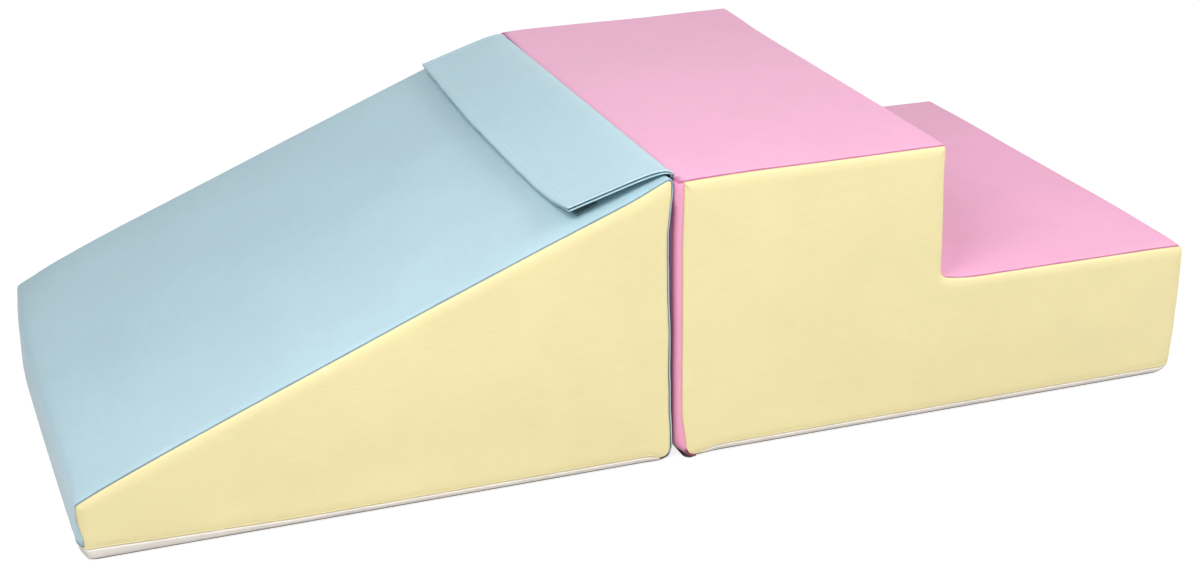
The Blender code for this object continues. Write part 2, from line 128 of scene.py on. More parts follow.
# finishes
class Value:
    # a number socket that can be written with in plain sums
    def __init__(self, finish, socket):
        self.finish = finish
        self.socket = socket

    def sum(self, operation, *others, clamp=False):
        node = self.finish.add("ShaderNodeMath", {"operation": operation, "use_clamp": clamp},
                               {i: v for i, v in enumerate((self, *others))})
        return Value(self.finish, node.outputs[0])

    def __add__(self, other):
        return self.sum("ADD", other)

    def __sub__(self, other):
        return self.sum("SUBTRACT", other)

    def __mul__(self, other):
        return self.sum("MULTIPLY", other)

    def __truediv__(self, other):
        return self.sum("DIVIDE", other)

    def __pow__(self, other):
        return self.sum("POWER", other)

    def __rsub__(self, other):
        return self.finish.number(other).sum("SUBTRACT", self)

    def __rtruediv__(self, other):
        return self.finish.number(other).sum("DIVIDE", self)

    def __rpow__(self, other):
        return self.finish.number(other).sum("POWER", self)

    __radd__ = __add__
    __rmul__ = __mul__


class Finish:
    # one material and its nodes
    def __init__(self, name):
        self.material = bpy.data.materials.new(name)
        self.material.use_nodes = True
        self.tree = self.material.node_tree
        self.shader = self.tree.nodes["Principled BSDF"]
        self.place = self.add("ShaderNodeTexCoord").outputs["Object"]

    def add(self, kind, settings=None, sockets=None):
        return addNode(self.tree, kind, settings, sockets)

    def number(self, value):
        return Value(self, self.add("ShaderNodeMath", {"operation": "ADD"}, {0: value, 1: 0.0}).outputs[0])

    def noise(self, scale, detail=2.0, rough=0.5, place=None, distortion=0.0):
        node = self.add("ShaderNodeTexNoise", {}, {
            "Vector": place or self.place, "Scale": scale, "Detail": detail,
            "Roughness": rough, "Distortion": distortion})
        return Value(self, node.outputs["Fac"])

    def cells(self, scale, feature="F1", place=None):
        node = self.add("ShaderNodeTexVoronoi", {"feature": feature},
                        {"Vector": place or self.place, "Scale": scale})
        return Value(self, node.outputs["Distance"])

    def attribute(self, name):
        return Value(self, self.add("ShaderNodeAttribute", {"attribute_name": name}).outputs["Fac"])

    def wave(self, direction, scale, **sockets):
        node = self.add("ShaderNodeTexWave", {"wave_type": "BANDS", "bands_direction": direction},
                        {"Vector": self.place, "Scale": scale, **sockets})
        return Value(self, node.outputs["Fac"])

    def squeezed(self, factors, turn=(0, 0, 0)):
        sockets = {"Vector": self.place, "Scale": factors, "Rotation": turn}
        return self.add("ShaderNodeMapping", {}, sockets).outputs[0]

    def range(self, value, low, high, outLow=0.0, outHigh=1.0):
        node = self.add("ShaderNodeMapRange", {"interpolation_type": "SMOOTHSTEP"}, {
            "Value": value, "From Min": low, "From Max": high, "To Min": outLow, "To Max": outHigh})
        return Value(self, node.outputs["Result"])

    def mix(self, share, first, second, blend="MIX"):
        node = self.add("ShaderNodeMix", {"data_type": "RGBA", "blend_type": blend},
                        {"Factor": share, 6: first, 7: second})
        return node.outputs[2]

    def bump(self, height, strength, distance, under=None):
        sockets = {"Height": height, "Strength": strength, "Distance": distance}
        if under is not None:
            sockets["Normal"] = under
        return self.add("ShaderNodeBump", {}, sockets).outputs["Normal"]

    def done(self, colour, roughness, normal, specular=0.5, **more):
        sockets = {"Base Color": colour, "Roughness": roughness, "Normal": normal,
                   "Specular IOR Level": specular, **more}
        for name, value in sockets.items():
            plug(self.tree, self.shader.inputs[name], value)
        return self.material


def shade(colour, share):
    return (*[c * share for c in colour[:3]], 1)


leatherGrain = {
    "pebble": 1150,  # cells per metre
    "crease": 260,
    "mottle": 9,
    "cloud": 2.6,
    "fine": 3200,
    "rub": 34,
    "streak": 46,
    "warp": 60.0,
    "warpShare": 0.018,
    "pebbleDepth": 0.00010,
    "creaseDepth": 0.00012,
}
# each cover's own colour, and poreAndShade: the colour of its grain's pores and of the painted shade at its
# seams
coverColours = {
    "blue": {"base": (0.500, 0.700, 0.780), "poreAndShade": (0.10, 0.19, 0.27)},
    # the joint panel: a darker copy of the pink, painted shade for the panel that faces into the narrow gap
    # between the blocks
    "shadedJointPink": {"base": (0.830, 0.345, 0.520), "poreAndShade": (0.150, 0.004, 0.042)},
    "pink": {"base": (0.882, 0.432, 0.632), "poreAndShade": (0.42, 0.075, 0.20)},
    "yellow": {"base": (0.800, 0.705, 0.378), "poreAndShade": (0.46, 0.36, 0.13)},
}


def leather(name, colours, roughness=0.46, seamDark=0.85):
    f = Finish(name)
    base, poreAndShade = (*colours["base"], 1), (*colours["poreAndShade"], 1)
    mottle = f.noise(leatherGrain["mottle"], 3.0, 0.55)
    cloud = f.noise(leatherGrain["cloud"], 1.0, 0.5)
    pebble = f.cells(leatherGrain["pebble"])
    shifts = f.add("ShaderNodeTexNoise", {}, {"Vector": f.place, "Scale": leatherGrain["warp"]})
    warped = f.add("ShaderNodeMix", {"data_type": "VECTOR"},
                   {0: leatherGrain["warpShare"], 4: f.place, 5: shifts.outputs["Color"]})
    crease = f.cells(leatherGrain["crease"], "DISTANCE_TO_EDGE", warped.outputs[1])
    fine = f.noise(leatherGrain["fine"], 2.0, 0.6)
    rub = f.noise(leatherGrain["rub"], 4.0, 0.62)
    seam = f.attribute("seamShade")
    worn = f.attribute("edgeWear")
    streak = f.noise(leatherGrain["streak"], 2.0, 0.55, f.squeezed((1, 1, 9)))
    tone = f.range(mottle * 0.45 + cloud * 0.3 + streak * 0.25, 0.32, 0.68)
    colour = f.mix(tone, shade(base, 0.965), shade(base, 1.03))
    pores = f.range(pebble, 0.0, 0.55, 0.10, 0.0)
    colour = f.mix(pores, colour, poreAndShade)
    scuff = f.range(rub, 0.62, 0.80) * worn
    pale = tuple(min(1.0, c * 0.5 + 0.5) for c in base[:3]) + (1,)
    colour = f.mix(scuff * 0.35, colour, pale)
    # painted shade: darker towards poreAndShade where the seamShade attribute says, at the seams, in the
    # joint's narrow gap, at the flap's root and between its plies
    colour = f.mix(f.range(seam, 0.15, 0.85) * seamDark, colour, poreAndShade)
    rough = roughness + (mottle - 0.5) * 0.10 + (fine - 0.5) * 0.10 + scuff * 0.12
    folds = f.bump(f.range(crease, 0.0, 0.10), 0.45, leatherGrain["creaseDepth"])
    grain = f.bump(pebble + fine * 0.5, 0.55, leatherGrain["pebbleDepth"], folds)
    gloss = {"Coat Weight": 0.06, "Coat Roughness": 0.35, "Sheen Weight": 0.05}
    return f.done(colour, rough, grain, 0.42, **gloss)


def baseClothFinish():
    # woven non-slip cloth with small rubber dots
    f = Finish("baseCloth")
    thread = f.wave("DIAGONAL", 420.0, Distortion=0.6, Detail=1.0, **{"Detail Scale": 2.0})
    dots = f.cells(210)
    grime = f.noise(16, 4.0, 0.6)
    colour = f.mix(f.range(grime, 0.35, 0.75), (0.88, 0.825, 0.765, 1), (0.78, 0.73, 0.68, 1))
    colour = f.mix(thread * 0.18, colour, (0.52, 0.49, 0.47, 1))
    colour = f.mix(f.range(dots, 0.10, 0.22, 0.35, 0.0), colour, (0.86, 0.84, 0.81, 1))
    # painted shade: near-black brown at the rim's seam, as a shadow line along the floor and at the wedge's
    # back beside the joint
    seam = f.attribute("seamShade")
    colour = f.mix(f.range(seam, 0.25, 1.0) * 0.92, colour, (0.055, 0.040, 0.036, 1))
    surface = f.bump(thread * 0.5 + f.range(dots, 0.05, 0.30, 1.0, 0.0), 0.5, 0.0003)
    return f.done(colour, 0.84, surface, 0.25)


def foamFinish():
    f = Finish("cutFoam")
    pores = f.cells(900)
    big = f.cells(190)
    colour = f.mix(f.range(pores, 0.0, 0.5), (0.62, 0.64, 0.62, 1), (0.88, 0.89, 0.86, 1))
    colour = f.mix(f.range(big, 0.0, 0.12, 0.5, 0.0), colour, (0.40, 0.42, 0.40, 1))
    surface = f.bump(pores + f.range(big, 0.0, 0.2) * 0.6, 0.8, 0.0006)
    return f.done(colour, 0.93, surface, 0.15)


def pileFinish(name, low, high):
    f = Finish(name)
    tuft = f.cells(700)
    patch = f.noise(90, 3.0, 0.6)
    colour = f.mix(f.range(tuft, 0.05, 0.6) * 0.7 + patch * 0.3, low, high)
    surface = f.bump(tuft + patch * 0.4, 0.7, 0.0005)
    return f.done(colour, 0.9, surface, 0.2)


def tapeFinish():
    f = Finish("zipTapeCloth")
    weave = f.wave("X", 520.0, Distortion=0.4) * 0.6 + f.wave("Y", 300.0, Distortion=0.2) * 0.4
    colour = f.mix(weave, (0.50, 0.50, 0.50, 1), (0.76, 0.755, 0.75, 1))
    return f.done(colour, 0.8, f.bump(weave, 0.6, 0.0002), 0.25)


def sliderFinish():
    f = Finish("zipSliderMetal")
    brushed = f.noise(420, 3.0, 0.6, f.squeezed((1, 7, 7)))
    spots = f.noise(160, 2.0, 0.5)
    colour = f.mix(f.range(spots, 0.35, 0.7), (0.60, 0.60, 0.62, 1), (0.72, 0.72, 0.74, 1))
    return f.done(colour, 0.26 + brushed * 0.18, f.bump(brushed, 0.25, 0.00008), Metallic=1.0)


def threadFinish(name, colour):
    f = Finish(name)
    strand = f.wave("DIAGONAL", 1500.0)
    tint = f.mix(strand, shade(colour, 0.72), shade(colour, 1.0))
    return f.done(tint, 0.6, f.bump(strand, 0.5, 0.0001))


finishes = {
    "blue": leather("blueCover", coverColours["blue"]),
    "pink": leather("pinkCover", coverColours["pink"]),
    # the joint panel's shaded copy of the pink, with deeper painted shade in the gap
    "shadedJointPink": leather("shadedJointPinkCover", coverColours["shadedJointPink"], seamDark=0.96),
    "yellow": leather("yellowCover", coverColours["yellow"]),
    "base": baseClothFinish(),
    "foam": foamFinish(),
    # hook and loop tapes: dark tapes, their colours made darker still as painted shade for the shadow under
    # the flap
    "hook": pileFinish("hookTape", (0.06, 0.11, 0.13, 1), (0.14, 0.22, 0.25, 1)),
    "loop": pileFinish("loopTape", (0.08, 0.14, 0.16, 1), (0.22, 0.33, 0.36, 1)),
    "tape": tapeFinish(),
    "slider": sliderFinish(),
    "blueThread": threadFinish("blueThread", (0.44, 0.62, 0.69, 1)),
}
print("finishes made")


# meshes
def meshPiece(name, verts, faces, finish, layers=None):
    mesh = bpy.data.meshes.new(name)
    mesh.from_pydata([tuple(v) for v in verts], [], [tuple(int(i) for i in f) for f in faces])
    mesh.validate()
    for key, values in (layers or {}).items():
        layer = mesh.attributes.new(key, "FLOAT", "POINT")
        layer.data.foreach_set("value", np.asarray(values, np.float32))
    mesh.shade_smooth()
    mesh.materials.append(finish)
    piece = bpy.data.objects.new(name, mesh)
    bpy.context.scene.collection.objects.link(piece)
    return piece


def pointNormals(verts, faces):
    total = np.zeros_like(verts)
    quads = np.array([f for f in faces if len(f) == 4], int).reshape(-1, 4)
    tris = np.array([f for f in faces if len(f) == 3], int).reshape(-1, 3)
    parts = [tris, quads[:, [0, 1, 2]], quads[:, [0, 2, 3]]]
    for part in parts:
        a, b, c = verts[part[:, 0]], verts[part[:, 1]], verts[part[:, 2]]
        n = np.cross(b - a, c - a)
        for k in range(3):
            np.add.at(total, part[:, k], n)
    return unit(total)


def closedShell(name, verts, faces, thickness, finish, layers=None):
    # a cover: the outer surface, the same drawn in by its thickness, and the rim between them
    verts = np.asarray(verts, float)
    inner = verts - pointNormals(verts, faces) * thickness
    verts[:, 2], inner[:, 2] = np.maximum(verts[:, 2], 0), np.maximum(inner[:, 2], 0)
    count = len(verts)
    directed = set()
    for f in faces:
        for a, b in zip(f, (*f[1:], f[0])):
            directed.add((a, b))
    rim = [(b, a, a + count, b + count) for a, b in directed if (b, a) not in directed]
    rim.sort()
    back = [tuple(i + count for i in reversed(f)) for f in faces]
    both = {k: np.concatenate([v, v]) for k, v in (layers or {}).items()}
    return meshPiece(name, np.vstack([verts, inner]), [*faces, *back, *rim], finish, both)


def gridFaces(rows, columns, flip=False, first=0):
    faces = []
    for i in range(rows - 1):
        for j in range(columns - 1):
            a = first + i * columns + j
            quad = (a, a + 1, a + columns + 1, a + columns)
            faces.append(quad[::-1] if flip else quad)
    return faces


# the two blocks: sizes in metres; X from toe to step, Y from the near side to the far side, Z up
blocks = {
    "width": 0.570,
    "height": 0.300,
    "toeHeight": 0.064,
    "stepHeight": 0.151,
    "toeX": -0.586,
    "slideBackX": 0.0,
    "jointX": 0.0005,
    "riserX": 0.2940,
    "endX": 0.586,
    "toeFold": 0.009,  # how much softer the ramp folds over the toe in its middle
    "foldIn": (0.004, 0.060),  # distances from the sides between which that sets in
    "leastBend": 0.0002,
    "arcStep": 0.0016,
    "straightStep": 0.0065,
}
sewing = {
    "leather": 0.0008,
    "turn": 0.0011,  # radius at which a panel turns in to its seam
    "gap": 0.0003,
    "flange": 0.0016,
    "valley": 0.0008,  # how far a cover dips at a seam
    "valleyReach": 0.010,
    "rollHeight": 0.012,  # the side panel rolls over its top edge
    "rollDepth": 0.005,
    "lower": 0.0006,  # the side's roll starts this far under the top cover
    "wrap": 0.0074,  # the joint panel turns round its two upright edges
    "rim": 0.009,  # how far the base cloth turns up
    "baseDraw": 0.0006,
}
half = blocks["width"] / 2
rampSlope = (blocks["height"] - blocks["toeHeight"]) / (blocks["slideBackX"] - blocks["toeX"])
seamY = half - sewing["rollDepth"]
seamZ = sewing["rim"] + sewing["gap"]
slideCorners = [
    (blocks["toeX"], 0, 0.012),
    (blocks["toeX"], blocks["toeHeight"], 0.005),
    (blocks["slideBackX"], blocks["height"], 0.0045),
    (blocks["slideBackX"], 0, 0.014),
]
stepCorners = [
    (blocks["jointX"], 0, 0.025),
    (blocks["jointX"], blocks["height"], 0.002),
    (blocks["riserX"], blocks["height"], 0.004),
    (blocks["riserX"], blocks["stepHeight"], 0.010),
    (blocks["endX"], blocks["stepHeight"], 0.006),
    (blocks["endX"], 0, 0.014),
]


def roundedOutline(corners, inset=0.0, softer=()):
    # points clockwise from the lower left, as many at any inset, with the way in and each corner's
    # first and last index
    count = len(corners)
    bends = []
    for i, (x, z, radius) in enumerate(corners):
        here = Vector((x, z))
        into = (here - Vector(corners[i - 1][:2])).normalized()
        out = (Vector(corners[(i + 1) % count][:2]) - here).normalized()
        turn = atan2(into.x * out.y - into.y * out.x, into.dot(out))
        extra = softer[i] if softer else 0.0
        bends.append((here, into, out, turn, radius * tan(abs(turn) / 2), radius + extra))
    points, inward, marks = [], [], []
    for i, (here, into, out, turn, reach, radius) in enumerate(bends):
        intoIn, outIn = Vector((into.y, -into.x)), Vector((out.y, -out.x))
        side = 1 if turn < 0 else -1
        bend = max(radius - side * inset, blocks["leastBend"])
        spot = here + (intoIn + outIn) * (inset / (1 + intoIn.dot(outIn)))
        start = spot - into * (bend * tan(abs(turn) / 2))
        centre = start + intoIn * (bend * side)
        arm = start - centre
        steps = max(6, round(corners[i][2] * abs(turn) / blocks["arcStep"]))
        marks.append((len(points), len(points) + steps))
        for k in range(steps + 1):
            angle = turn * k / steps
            way = Vector((arm.x * cos(angle) - arm.y * sin(angle), arm.x * sin(angle) + arm.y * cos(angle)))
            points.append(centre + way)
            inward.append(way.normalized() * -side)
        after = bends[(i + 1) % count]
        length = (after[0] - here).length - reach - after[4]
        pieces = max(2, round(length / blocks["straightStep"]))
        nextIn, beyondIn = Vector((after[1].y, -after[1].x)), Vector((after[2].y, -after[2].x))
        afterIn = (outIn + nextIn) * 0.5
        nextSpot = after[0] + (nextIn + beyondIn) * (inset / (1 + nextIn.dot(beyondIn)))
        nextSide = 1 if after[3] < 0 else -1
        nextBend = max(after[5] - nextSide * inset, blocks["leastBend"])
        end = nextSpot - after[1] * (nextBend * tan(abs(after[3]) / 2))
        begin = points[-1]
        for k in range(1, pieces):
            points.append(begin.lerp(end, k / pieces))
            inward.append(afterIn.normalized())
    return np.array([tuple(p) for p in points]), np.array([tuple(n) for n in inward]), marks


def roll(distance, height, depth):
    # how far a rolled edge has drawn in at a distance from its seam
    t = np.clip(1 - np.asarray(distance, float) / height, 0, 1)
    return depth * (1 - np.sqrt(np.maximum(1 - t * t, 0)))


def arcInset(z, radius):
    t = np.clip((radius - np.asarray(z, float)) / radius, 0, 1)
    return radius * (1 - np.sqrt(1 - t * t))


def distanceTo(path, spots):
    # distance from each spot to an open run of lines
    best = np.full(len(spots), 1e9)
    for start, end in zip(path[:-1], path[1:]):
        line = end - start
        share = np.clip(((spots - start) @ line) / max(line @ line, 1e-12), 0, 1)
        best = np.minimum(best, np.linalg.norm(start + share[:, None] * line - spots, axis=1))
    return best


def footArc(footX, radius, direction, inset, lowest, steps=5):
    # points down a foot corner to the height of its seam, with the way in
    bend = max(radius - inset, blocks["leastBend"])
    last = asin(min((radius - lowest) / bend, 1))
    angles = np.linspace(0, last, steps + 1)
    out = footX + direction * (radius - bend * np.cos(angles))
    points = np.stack([out, radius - bend * np.sin(angles)], 1)
    inward = np.stack([direction * np.cos(angles), np.sin(angles)], 1)
    return points, inward


turnAngles = [radians(a) for a in (20, 42, 66, 90)]


def turnedIn(edge, along, inward):
    # rows of points that carry on from an edge, round into the seam; the edge is one turn short of the seam
    rows = []
    for a in turnAngles:
        rows.append(edge + along * (sewing["turn"] * sin(a)) + inward * (sewing["turn"] * (1 - cos(a))))
    for share in (0.5, 1.0):
        rows.append(rows[len(turnAngles) - 1] + inward * (sewing["flange"] * share))
    return rows


seamLead = sewing["turn"] + sewing["gap"] / 2  # where a panel begins to turn in, back from its seam


def acrossRows():
    # places across the width for a cover that ends at rolled sides: (y, how far it dips)
    edge = seamY - seamLead
    dips = [0.0, 0.0006, 0.0014, 0.0024, 0.0038, 0.0056, 0.0076, 0.0100]
    near = [(edge - d, sewing["valley"] * (1 - d / sewing["valleyReach"]) ** 2) for d in dips]
    turned = []
    for a in turnAngles:
        turned.append((edge + sewing["turn"] * sin(a), sewing["valley"] + sewing["turn"] * (1 - cos(a))))
    for share in (0.5, 1.0):
        dip = sewing["valley"] + sewing["turn"] + sewing["flange"] * share
        turned.append((turned[len(turnAngles) - 1][0], dip))
    inner = edge - dips[-1]
    count = 62
    middle = [(-inner + 2 * inner * k / count, 0.0) for k in range(1, count)]
    outer = [*reversed(turned), *near]
    return [(-y, d) for y, d in outer] + middle + [(y, d) for y, d in reversed(outer)]


# how the stuffed blocks settle: every cover on a block goes through this, so its seams stay together
settling = {
    "wave": 0.105,
    "sway": 0.0006,
    "sideCrown": 0.0012,
    "puckerWave": 0.013,
    "pucker": 0.00028,
    "puckerReach": 0.006,
    "endHeights": [0.0, 0.015, 0.045, 0.090, 0.130, 0.151],
    "endSwell": [0.0, 0.0026, 0.0058, 0.0076, 0.0074, 0.0066],
    "endReach": 0.120,
    "endEase": 0.25,  # share of its swell that the step's end loses at its sides
    "cornerDroop": 0.0036,
    "droopAlong": 0.040,
    "droopAcross": 0.022,
    "edgeSag": 0.0013,
    "endDroop": 0.0026,
    "endAlong": 0.030,
    "toeSwell": 0.0074,  # how far the toe swells out, how it leans to the far side, bows and tucks in there
    "toeLean": 0.0036,
    "toeBow": 0.0017,
    "toeTuck": 0.028,
    "tuckStart": 0.3,
    "toeReach": 0.060,
    "footTurn": 0.0046,  # the ramp cover reaches round the toe's two lower corners
    "footSquare": 0.0028,
    "footAlong": 0.011,
    "footAcross": 0.007,
    "toeDroop": 0.078,  # share of its height that the toe gives up
    "droopReach": 0.034,
    "rampCrown": 0.0024,
    "crownMiddleX": -0.29,
    "crownHalf": 0.30,
    "footLean": 0.0050,
    "rimSink": 0.68,  # shares of its height that the base's rim loses beside the joint
    "backSink": 0.42,
    "rimLiftAt": [-0.600, -0.575, -0.530, -0.455, -0.380],
    "rimLift": [0.0065, 0.0055, 0.0038, 0.0020, 0.0],
    "farRoll": 0.0034,
    "farRise": 0.0032,
    "farDraw": 0.012,  # both blocks' far top corners draw in at the joint
    "farDrawStart": 0.262,
    "farDrawReach": 0.016,
    "rampFarRise": 0.0034,
    "backCorner": 0.0026,  # the wedge's top corner stands up at its near end
    "cornerAlong": 0.03,
    "cornerAcross": 0.016,
    "backTuck": 0.0058,  # and its foot draws in
    "backTuckHeight": 0.016,
    "backTuckPower": 1.5,
    "panelSwell": 0.42,  # how far the joint panel follows the wedge's hollow
    "riserSwell": 0.0042,
    "swellAlong": 0.024,
    "riserLean": 0.0024,
    "leanAlong": 0.03,
    "backReach": 0.130,
    "backHeights": [0.0, 0.022, 0.038, 0.059, 0.100, 0.141, 0.170,
                    0.196, 0.222, 0.246, 0.258, 0.273, 0.290, 0.300],
    "backRecess": [0.0, 0.0002, 0.0007, 0.0018, 0.0030, 0.0030, 0.0041,
                   0.0049, 0.0054, 0.0053, 0.0040, 0.0022, 0.0004, 0.0],
    "backWaviness": 0.0006,
    "backWave": 0.075,
    "backRipple": 0.0004,
    "rippleWave": 0.021,
}
# where each kind of settling sets in, as two places or shares of the ramp's height: there is none at
# the first, and it is full at the second
fades = {
    "looseZ": (0.006, 0.045),
    "looseX": (0.0, 0.05),
    "farDrawZ": (0.245, 0.290),
    "farRollY": (half - 0.013, half - 0.003),
    "farRollZ": (0.03, 0.05),
    "puckerStart": (-0.001, 0.0015),
    "platformZ": (0.22, 0.292),
    "farRiseY": (0.16, 0.27),
    "treadLowZ": (0.110, 0.148),
    "treadHighZ": (0.20, 0.17),
    "treadX": (0.34, 0.45),
    "riserX": (0.25, blocks["riserX"]),
    "riserHighZ": (0.290, 0.170),
    "riserLowZ": (0.140, 0.160),
    "panelX": (0.016, 0.001),
    "footLeanZ": (0.055, 0.011),
    "footLeanFromX": (0.002, 0.0078),
    "footLeanToX": (0.070, 0.020),
    "rimFromX": (0.003, 0.016),
    "rimToX": (0.050, 0.014),
    "rimZ": (0.032, 0.010),
    "rippleLowZ": (0.02, 0.05),
    "rippleHighZ": (0.296, 0.27),
    "hollowY": (half - settling["backReach"], half - 0.01),
    "hollowX": (-0.055, -0.004),
    "toeFootZ": (0.052, 0.012),
    "toeDroopZ": (0.010, 0.040),
    "crownShare": (0.3, 1.0),
    "rampFarY": (0.10, 0.26),
    "rampFarShare": (0.5, 1.0),
    "rampFarX": (-0.02, -0.10),
    "backCornerZ": (0.25, 0.29),
    "topEdgeZ": (0.20, 0.30),
    "topEdgeX": (-0.03, 0.0),
    "backSinkX": (-0.030, -0.006),
    "backTuckX": (-0.032, -0.006),
    "rimLiftLowZ": (0.0, 0.009),
    "rimLiftHighZ": (0.050, 0.012),
}


def fade(name, value):
    return smooth(*fades[name], value)


def alongWidth(y):
    # points for noise that varies along the width only
    return np.stack([y * 0, y, y * 0], -1)


def settleStep(x, y, z, moved):
    s = settling
    end = smooth(blocks["endX"] - s["endReach"], blocks["endX"], x)
    moved[:, 0] += end * np.interp(z, s["endHeights"], s["endSwell"]) * (1 - s["endEase"] * (y / half) ** 2)
    onTop = fade("platformZ", z)
    across = np.maximum(half + y, 0)
    corner = np.exp(-np.maximum(x, 0) / s["droopAlong"] - across / s["droopAcross"])
    moved[:, 2] -= onTop * (s["cornerDroop"] * corner + s["edgeSag"] * np.exp(-across / s["droopAcross"]))
    corner = np.exp(-np.maximum(blocks["endX"] - x, 0) / s["endAlong"] - across / s["droopAcross"])
    moved[:, 2] -= s["endDroop"] * corner * fade("treadLowZ", z) * fade("treadX", x)
    moved[:, 2] += s["farRise"] * onTop * fade("farRiseY", y)
    fromRiser = np.maximum(x - blocks["riserX"], 0)
    onTread = fade("treadLowZ", z) * fade("treadHighZ", z)
    moved[:, 2] += s["riserSwell"] * np.exp(-(fromRiser / s["swellAlong"]) ** 2) * fade("riserX", x) * onTread
    lean = np.exp(-((x - blocks["riserX"]) / s["leanAlong"]) ** 2)
    moved[:, 0] += s["riserLean"] * fade("riserHighZ", z) * fade("riserLowZ", z) * lean
    moved[:, 0] -= s["panelSwell"] * backHollow(y, z) * fade("panelX", x)
    moved[:, 0] += s["footLean"] * fade("footLeanZ", z) * fade("footLeanFromX", x) * fade("footLeanToX", x)
    moved[:, 2] -= z * s["rimSink"] * fade("rimFromX", x) * fade("rimToX", x) * fade("rimZ", z)


def backHollow(y, z):
    # how far the wedge's back draws in near its sides
    s = settling
    recess = np.interp(z, s["backHeights"], s["backRecess"])
    line = np.stack([z, np.sign(y) * 3, y * 0], 1)
    ripple = s["backRipple"] * noiseAt(line, s["rippleWave"], 22)
    recess += ripple * fade("rippleLowZ", z) * fade("rippleHighZ", z)
    return recess * fade("hollowY", np.abs(y))


def settleSlide(x, y, z, moved):
    s = settling
    ramp = np.maximum(blocks["height"] + rampSlope * x, 0.01)
    t = y / half
    swell = s["toeSwell"] + s["toeLean"] * t - s["toeBow"] * t ** 2
    swell = swell - s["toeTuck"] * np.maximum(t - s["tuckStart"], 0) ** 2
    moved[:, 0] -= swell * smooth(-blocks["toeX"] - s["toeReach"], -blocks["toeX"], -x)
    fromToe, fromSeam = x - blocks["toeX"], seamY - np.abs(y)
    corner = np.exp(-(fromToe / s["footAlong"]) ** 2 - (fromSeam / s["footAcross"]) ** 2)
    corner = corner * fade("toeFootZ", z)
    moved[:, 0] += s["footTurn"] * corner
    moved[:, 1] += np.sign(y) * s["footSquare"] * corner
    droop = z * s["toeDroop"] * np.exp(-np.maximum(fromToe, 0) / s["droopReach"])
    moved[:, 2] -= droop * fade("toeDroopZ", z)
    crown = np.clip(1 - ((x - s["crownMiddleX"]) / s["crownHalf"]) ** 2, 0, 1)
    moved[:, 2] += s["rampCrown"] * crown * fade("crownShare", z / ramp)
    rise = s["rampFarRise"] * fade("rampFarY", y) * fade("rampFarShare", z / ramp)
    moved[:, 2] += rise * fade("rampFarX", x)
    corner = np.exp(-(x / s["cornerAlong"]) ** 2 - ((half + y) / s["cornerAcross"]) ** 2)
    moved[:, 2] += s["backCorner"] * corner * fade("backCornerZ", z)
    topEdge = fade("topEdgeZ", z) * fade("topEdgeX", x)
    moved[:, 0] -= topEdge * s["backWaviness"] * (0.5 + 0.5 * noiseAt(alongWidth(y), s["backWave"], 21))
    moved[:, 0] -= backHollow(y, z) * fade("hollowX", x)
    moved[:, 2] -= z * s["backSink"] * fade("backSinkX", x) * fade("rimZ", z)
    lift = np.interp(x, s["rimLiftAt"], s["rimLift"])
    moved[:, 2] += lift * fade("rimLiftLowZ", z) * fade("rimLiftHighZ", z)
    low = np.clip(1 - moved[:, 2] / s["backTuckHeight"], 0, 1)
    moved[:, 0] -= s["backTuck"] * low ** s["backTuckPower"] * fade("backTuckX", x)


def settle(block, points):
    s = settling
    p = np.array(points, float)
    x, y, z = p.T
    moved = p.copy()
    loose = fade("looseZ", z) * fade("looseX", np.abs(x))
    for axis, seed in ((0, 11), (1, 12), (2, 13)):
        moved[:, axis] += s["sway"] * loose * noiseAt(p, s["wave"], seed)
    (settleSlide if block == "slide" else settleStep)(x, y, z, moved)
    far = np.clip((y - s["farDrawStart"]) / (half - s["farDrawStart"]), 0, 1)
    moved[:, 1] -= s["farDraw"] * far * np.exp(-np.abs(x) / s["farDrawReach"]) * fade("farDrawZ", z)
    moved[:, 2] -= s["farRoll"] * fade("farRollY", y) * fade("farRollZ", z)
    return moved


def puckered(points, outward, seamDistance, seed):
    # small gathers beside a seam
    reach = np.exp(-np.maximum(seamDistance - 0.001, 0) / settling["puckerReach"])
    reach = reach * fade("puckerStart", seamDistance)
    lift = settling["pucker"] * reach * noiseAt(points, settling["puckerWave"], seed)
    return points + outward * lift[:, None]


# covers that run across the width
def coverPiece(name, block, verts, faces, finish, layers, node):
    # a stuffed cover, riding on its block in place of the CAD's solid
    piece = closedShell(name, verts, faces, sewing["leather"], finish, layers)
    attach(piece, block + "_block")
    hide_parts(node)


def underFlap(y):
    # 1 along the flap, 0 past its two ends
    return smooth(*jointSeam["flapNearY"], y) * smooth(*jointSeam["flapFarY"], y)


def coverStart(y):
    # where the step cover begins behind the joint: it leaves room for the flap's plies
    closed, apart = jointSeam["closedStart"], jointSeam["coverStart"]
    return closed + (apart - closed) * float(underFlap(y))


def wrappedRow(y, dip):
    # where a row lies across, and its dip, as the ramp cover turns round the wedge's back edge on to its side
    radius, last = backWrap["radius"], radians(backWrap["seamDegrees"])
    fromSeam = seamY - abs(y)
    angle = last - fromSeam / radius
    if angle < 0:
        return np.sign(y) * (half - radius + angle * radius), dip
    return np.sign(y) * (half - radius + (radius - dip) * sin(angle)), radius - (radius - dip) * cos(angle)


backWrap = {
    "radius": 0.0042,
    "seamDegrees": 72,
}
backTurn = backWrap["radius"] * (1 - cos(radians(backWrap["seamDegrees"])))
backEdgeX = blocks["slideBackX"] - backTurn - sewing["gap"] / 2


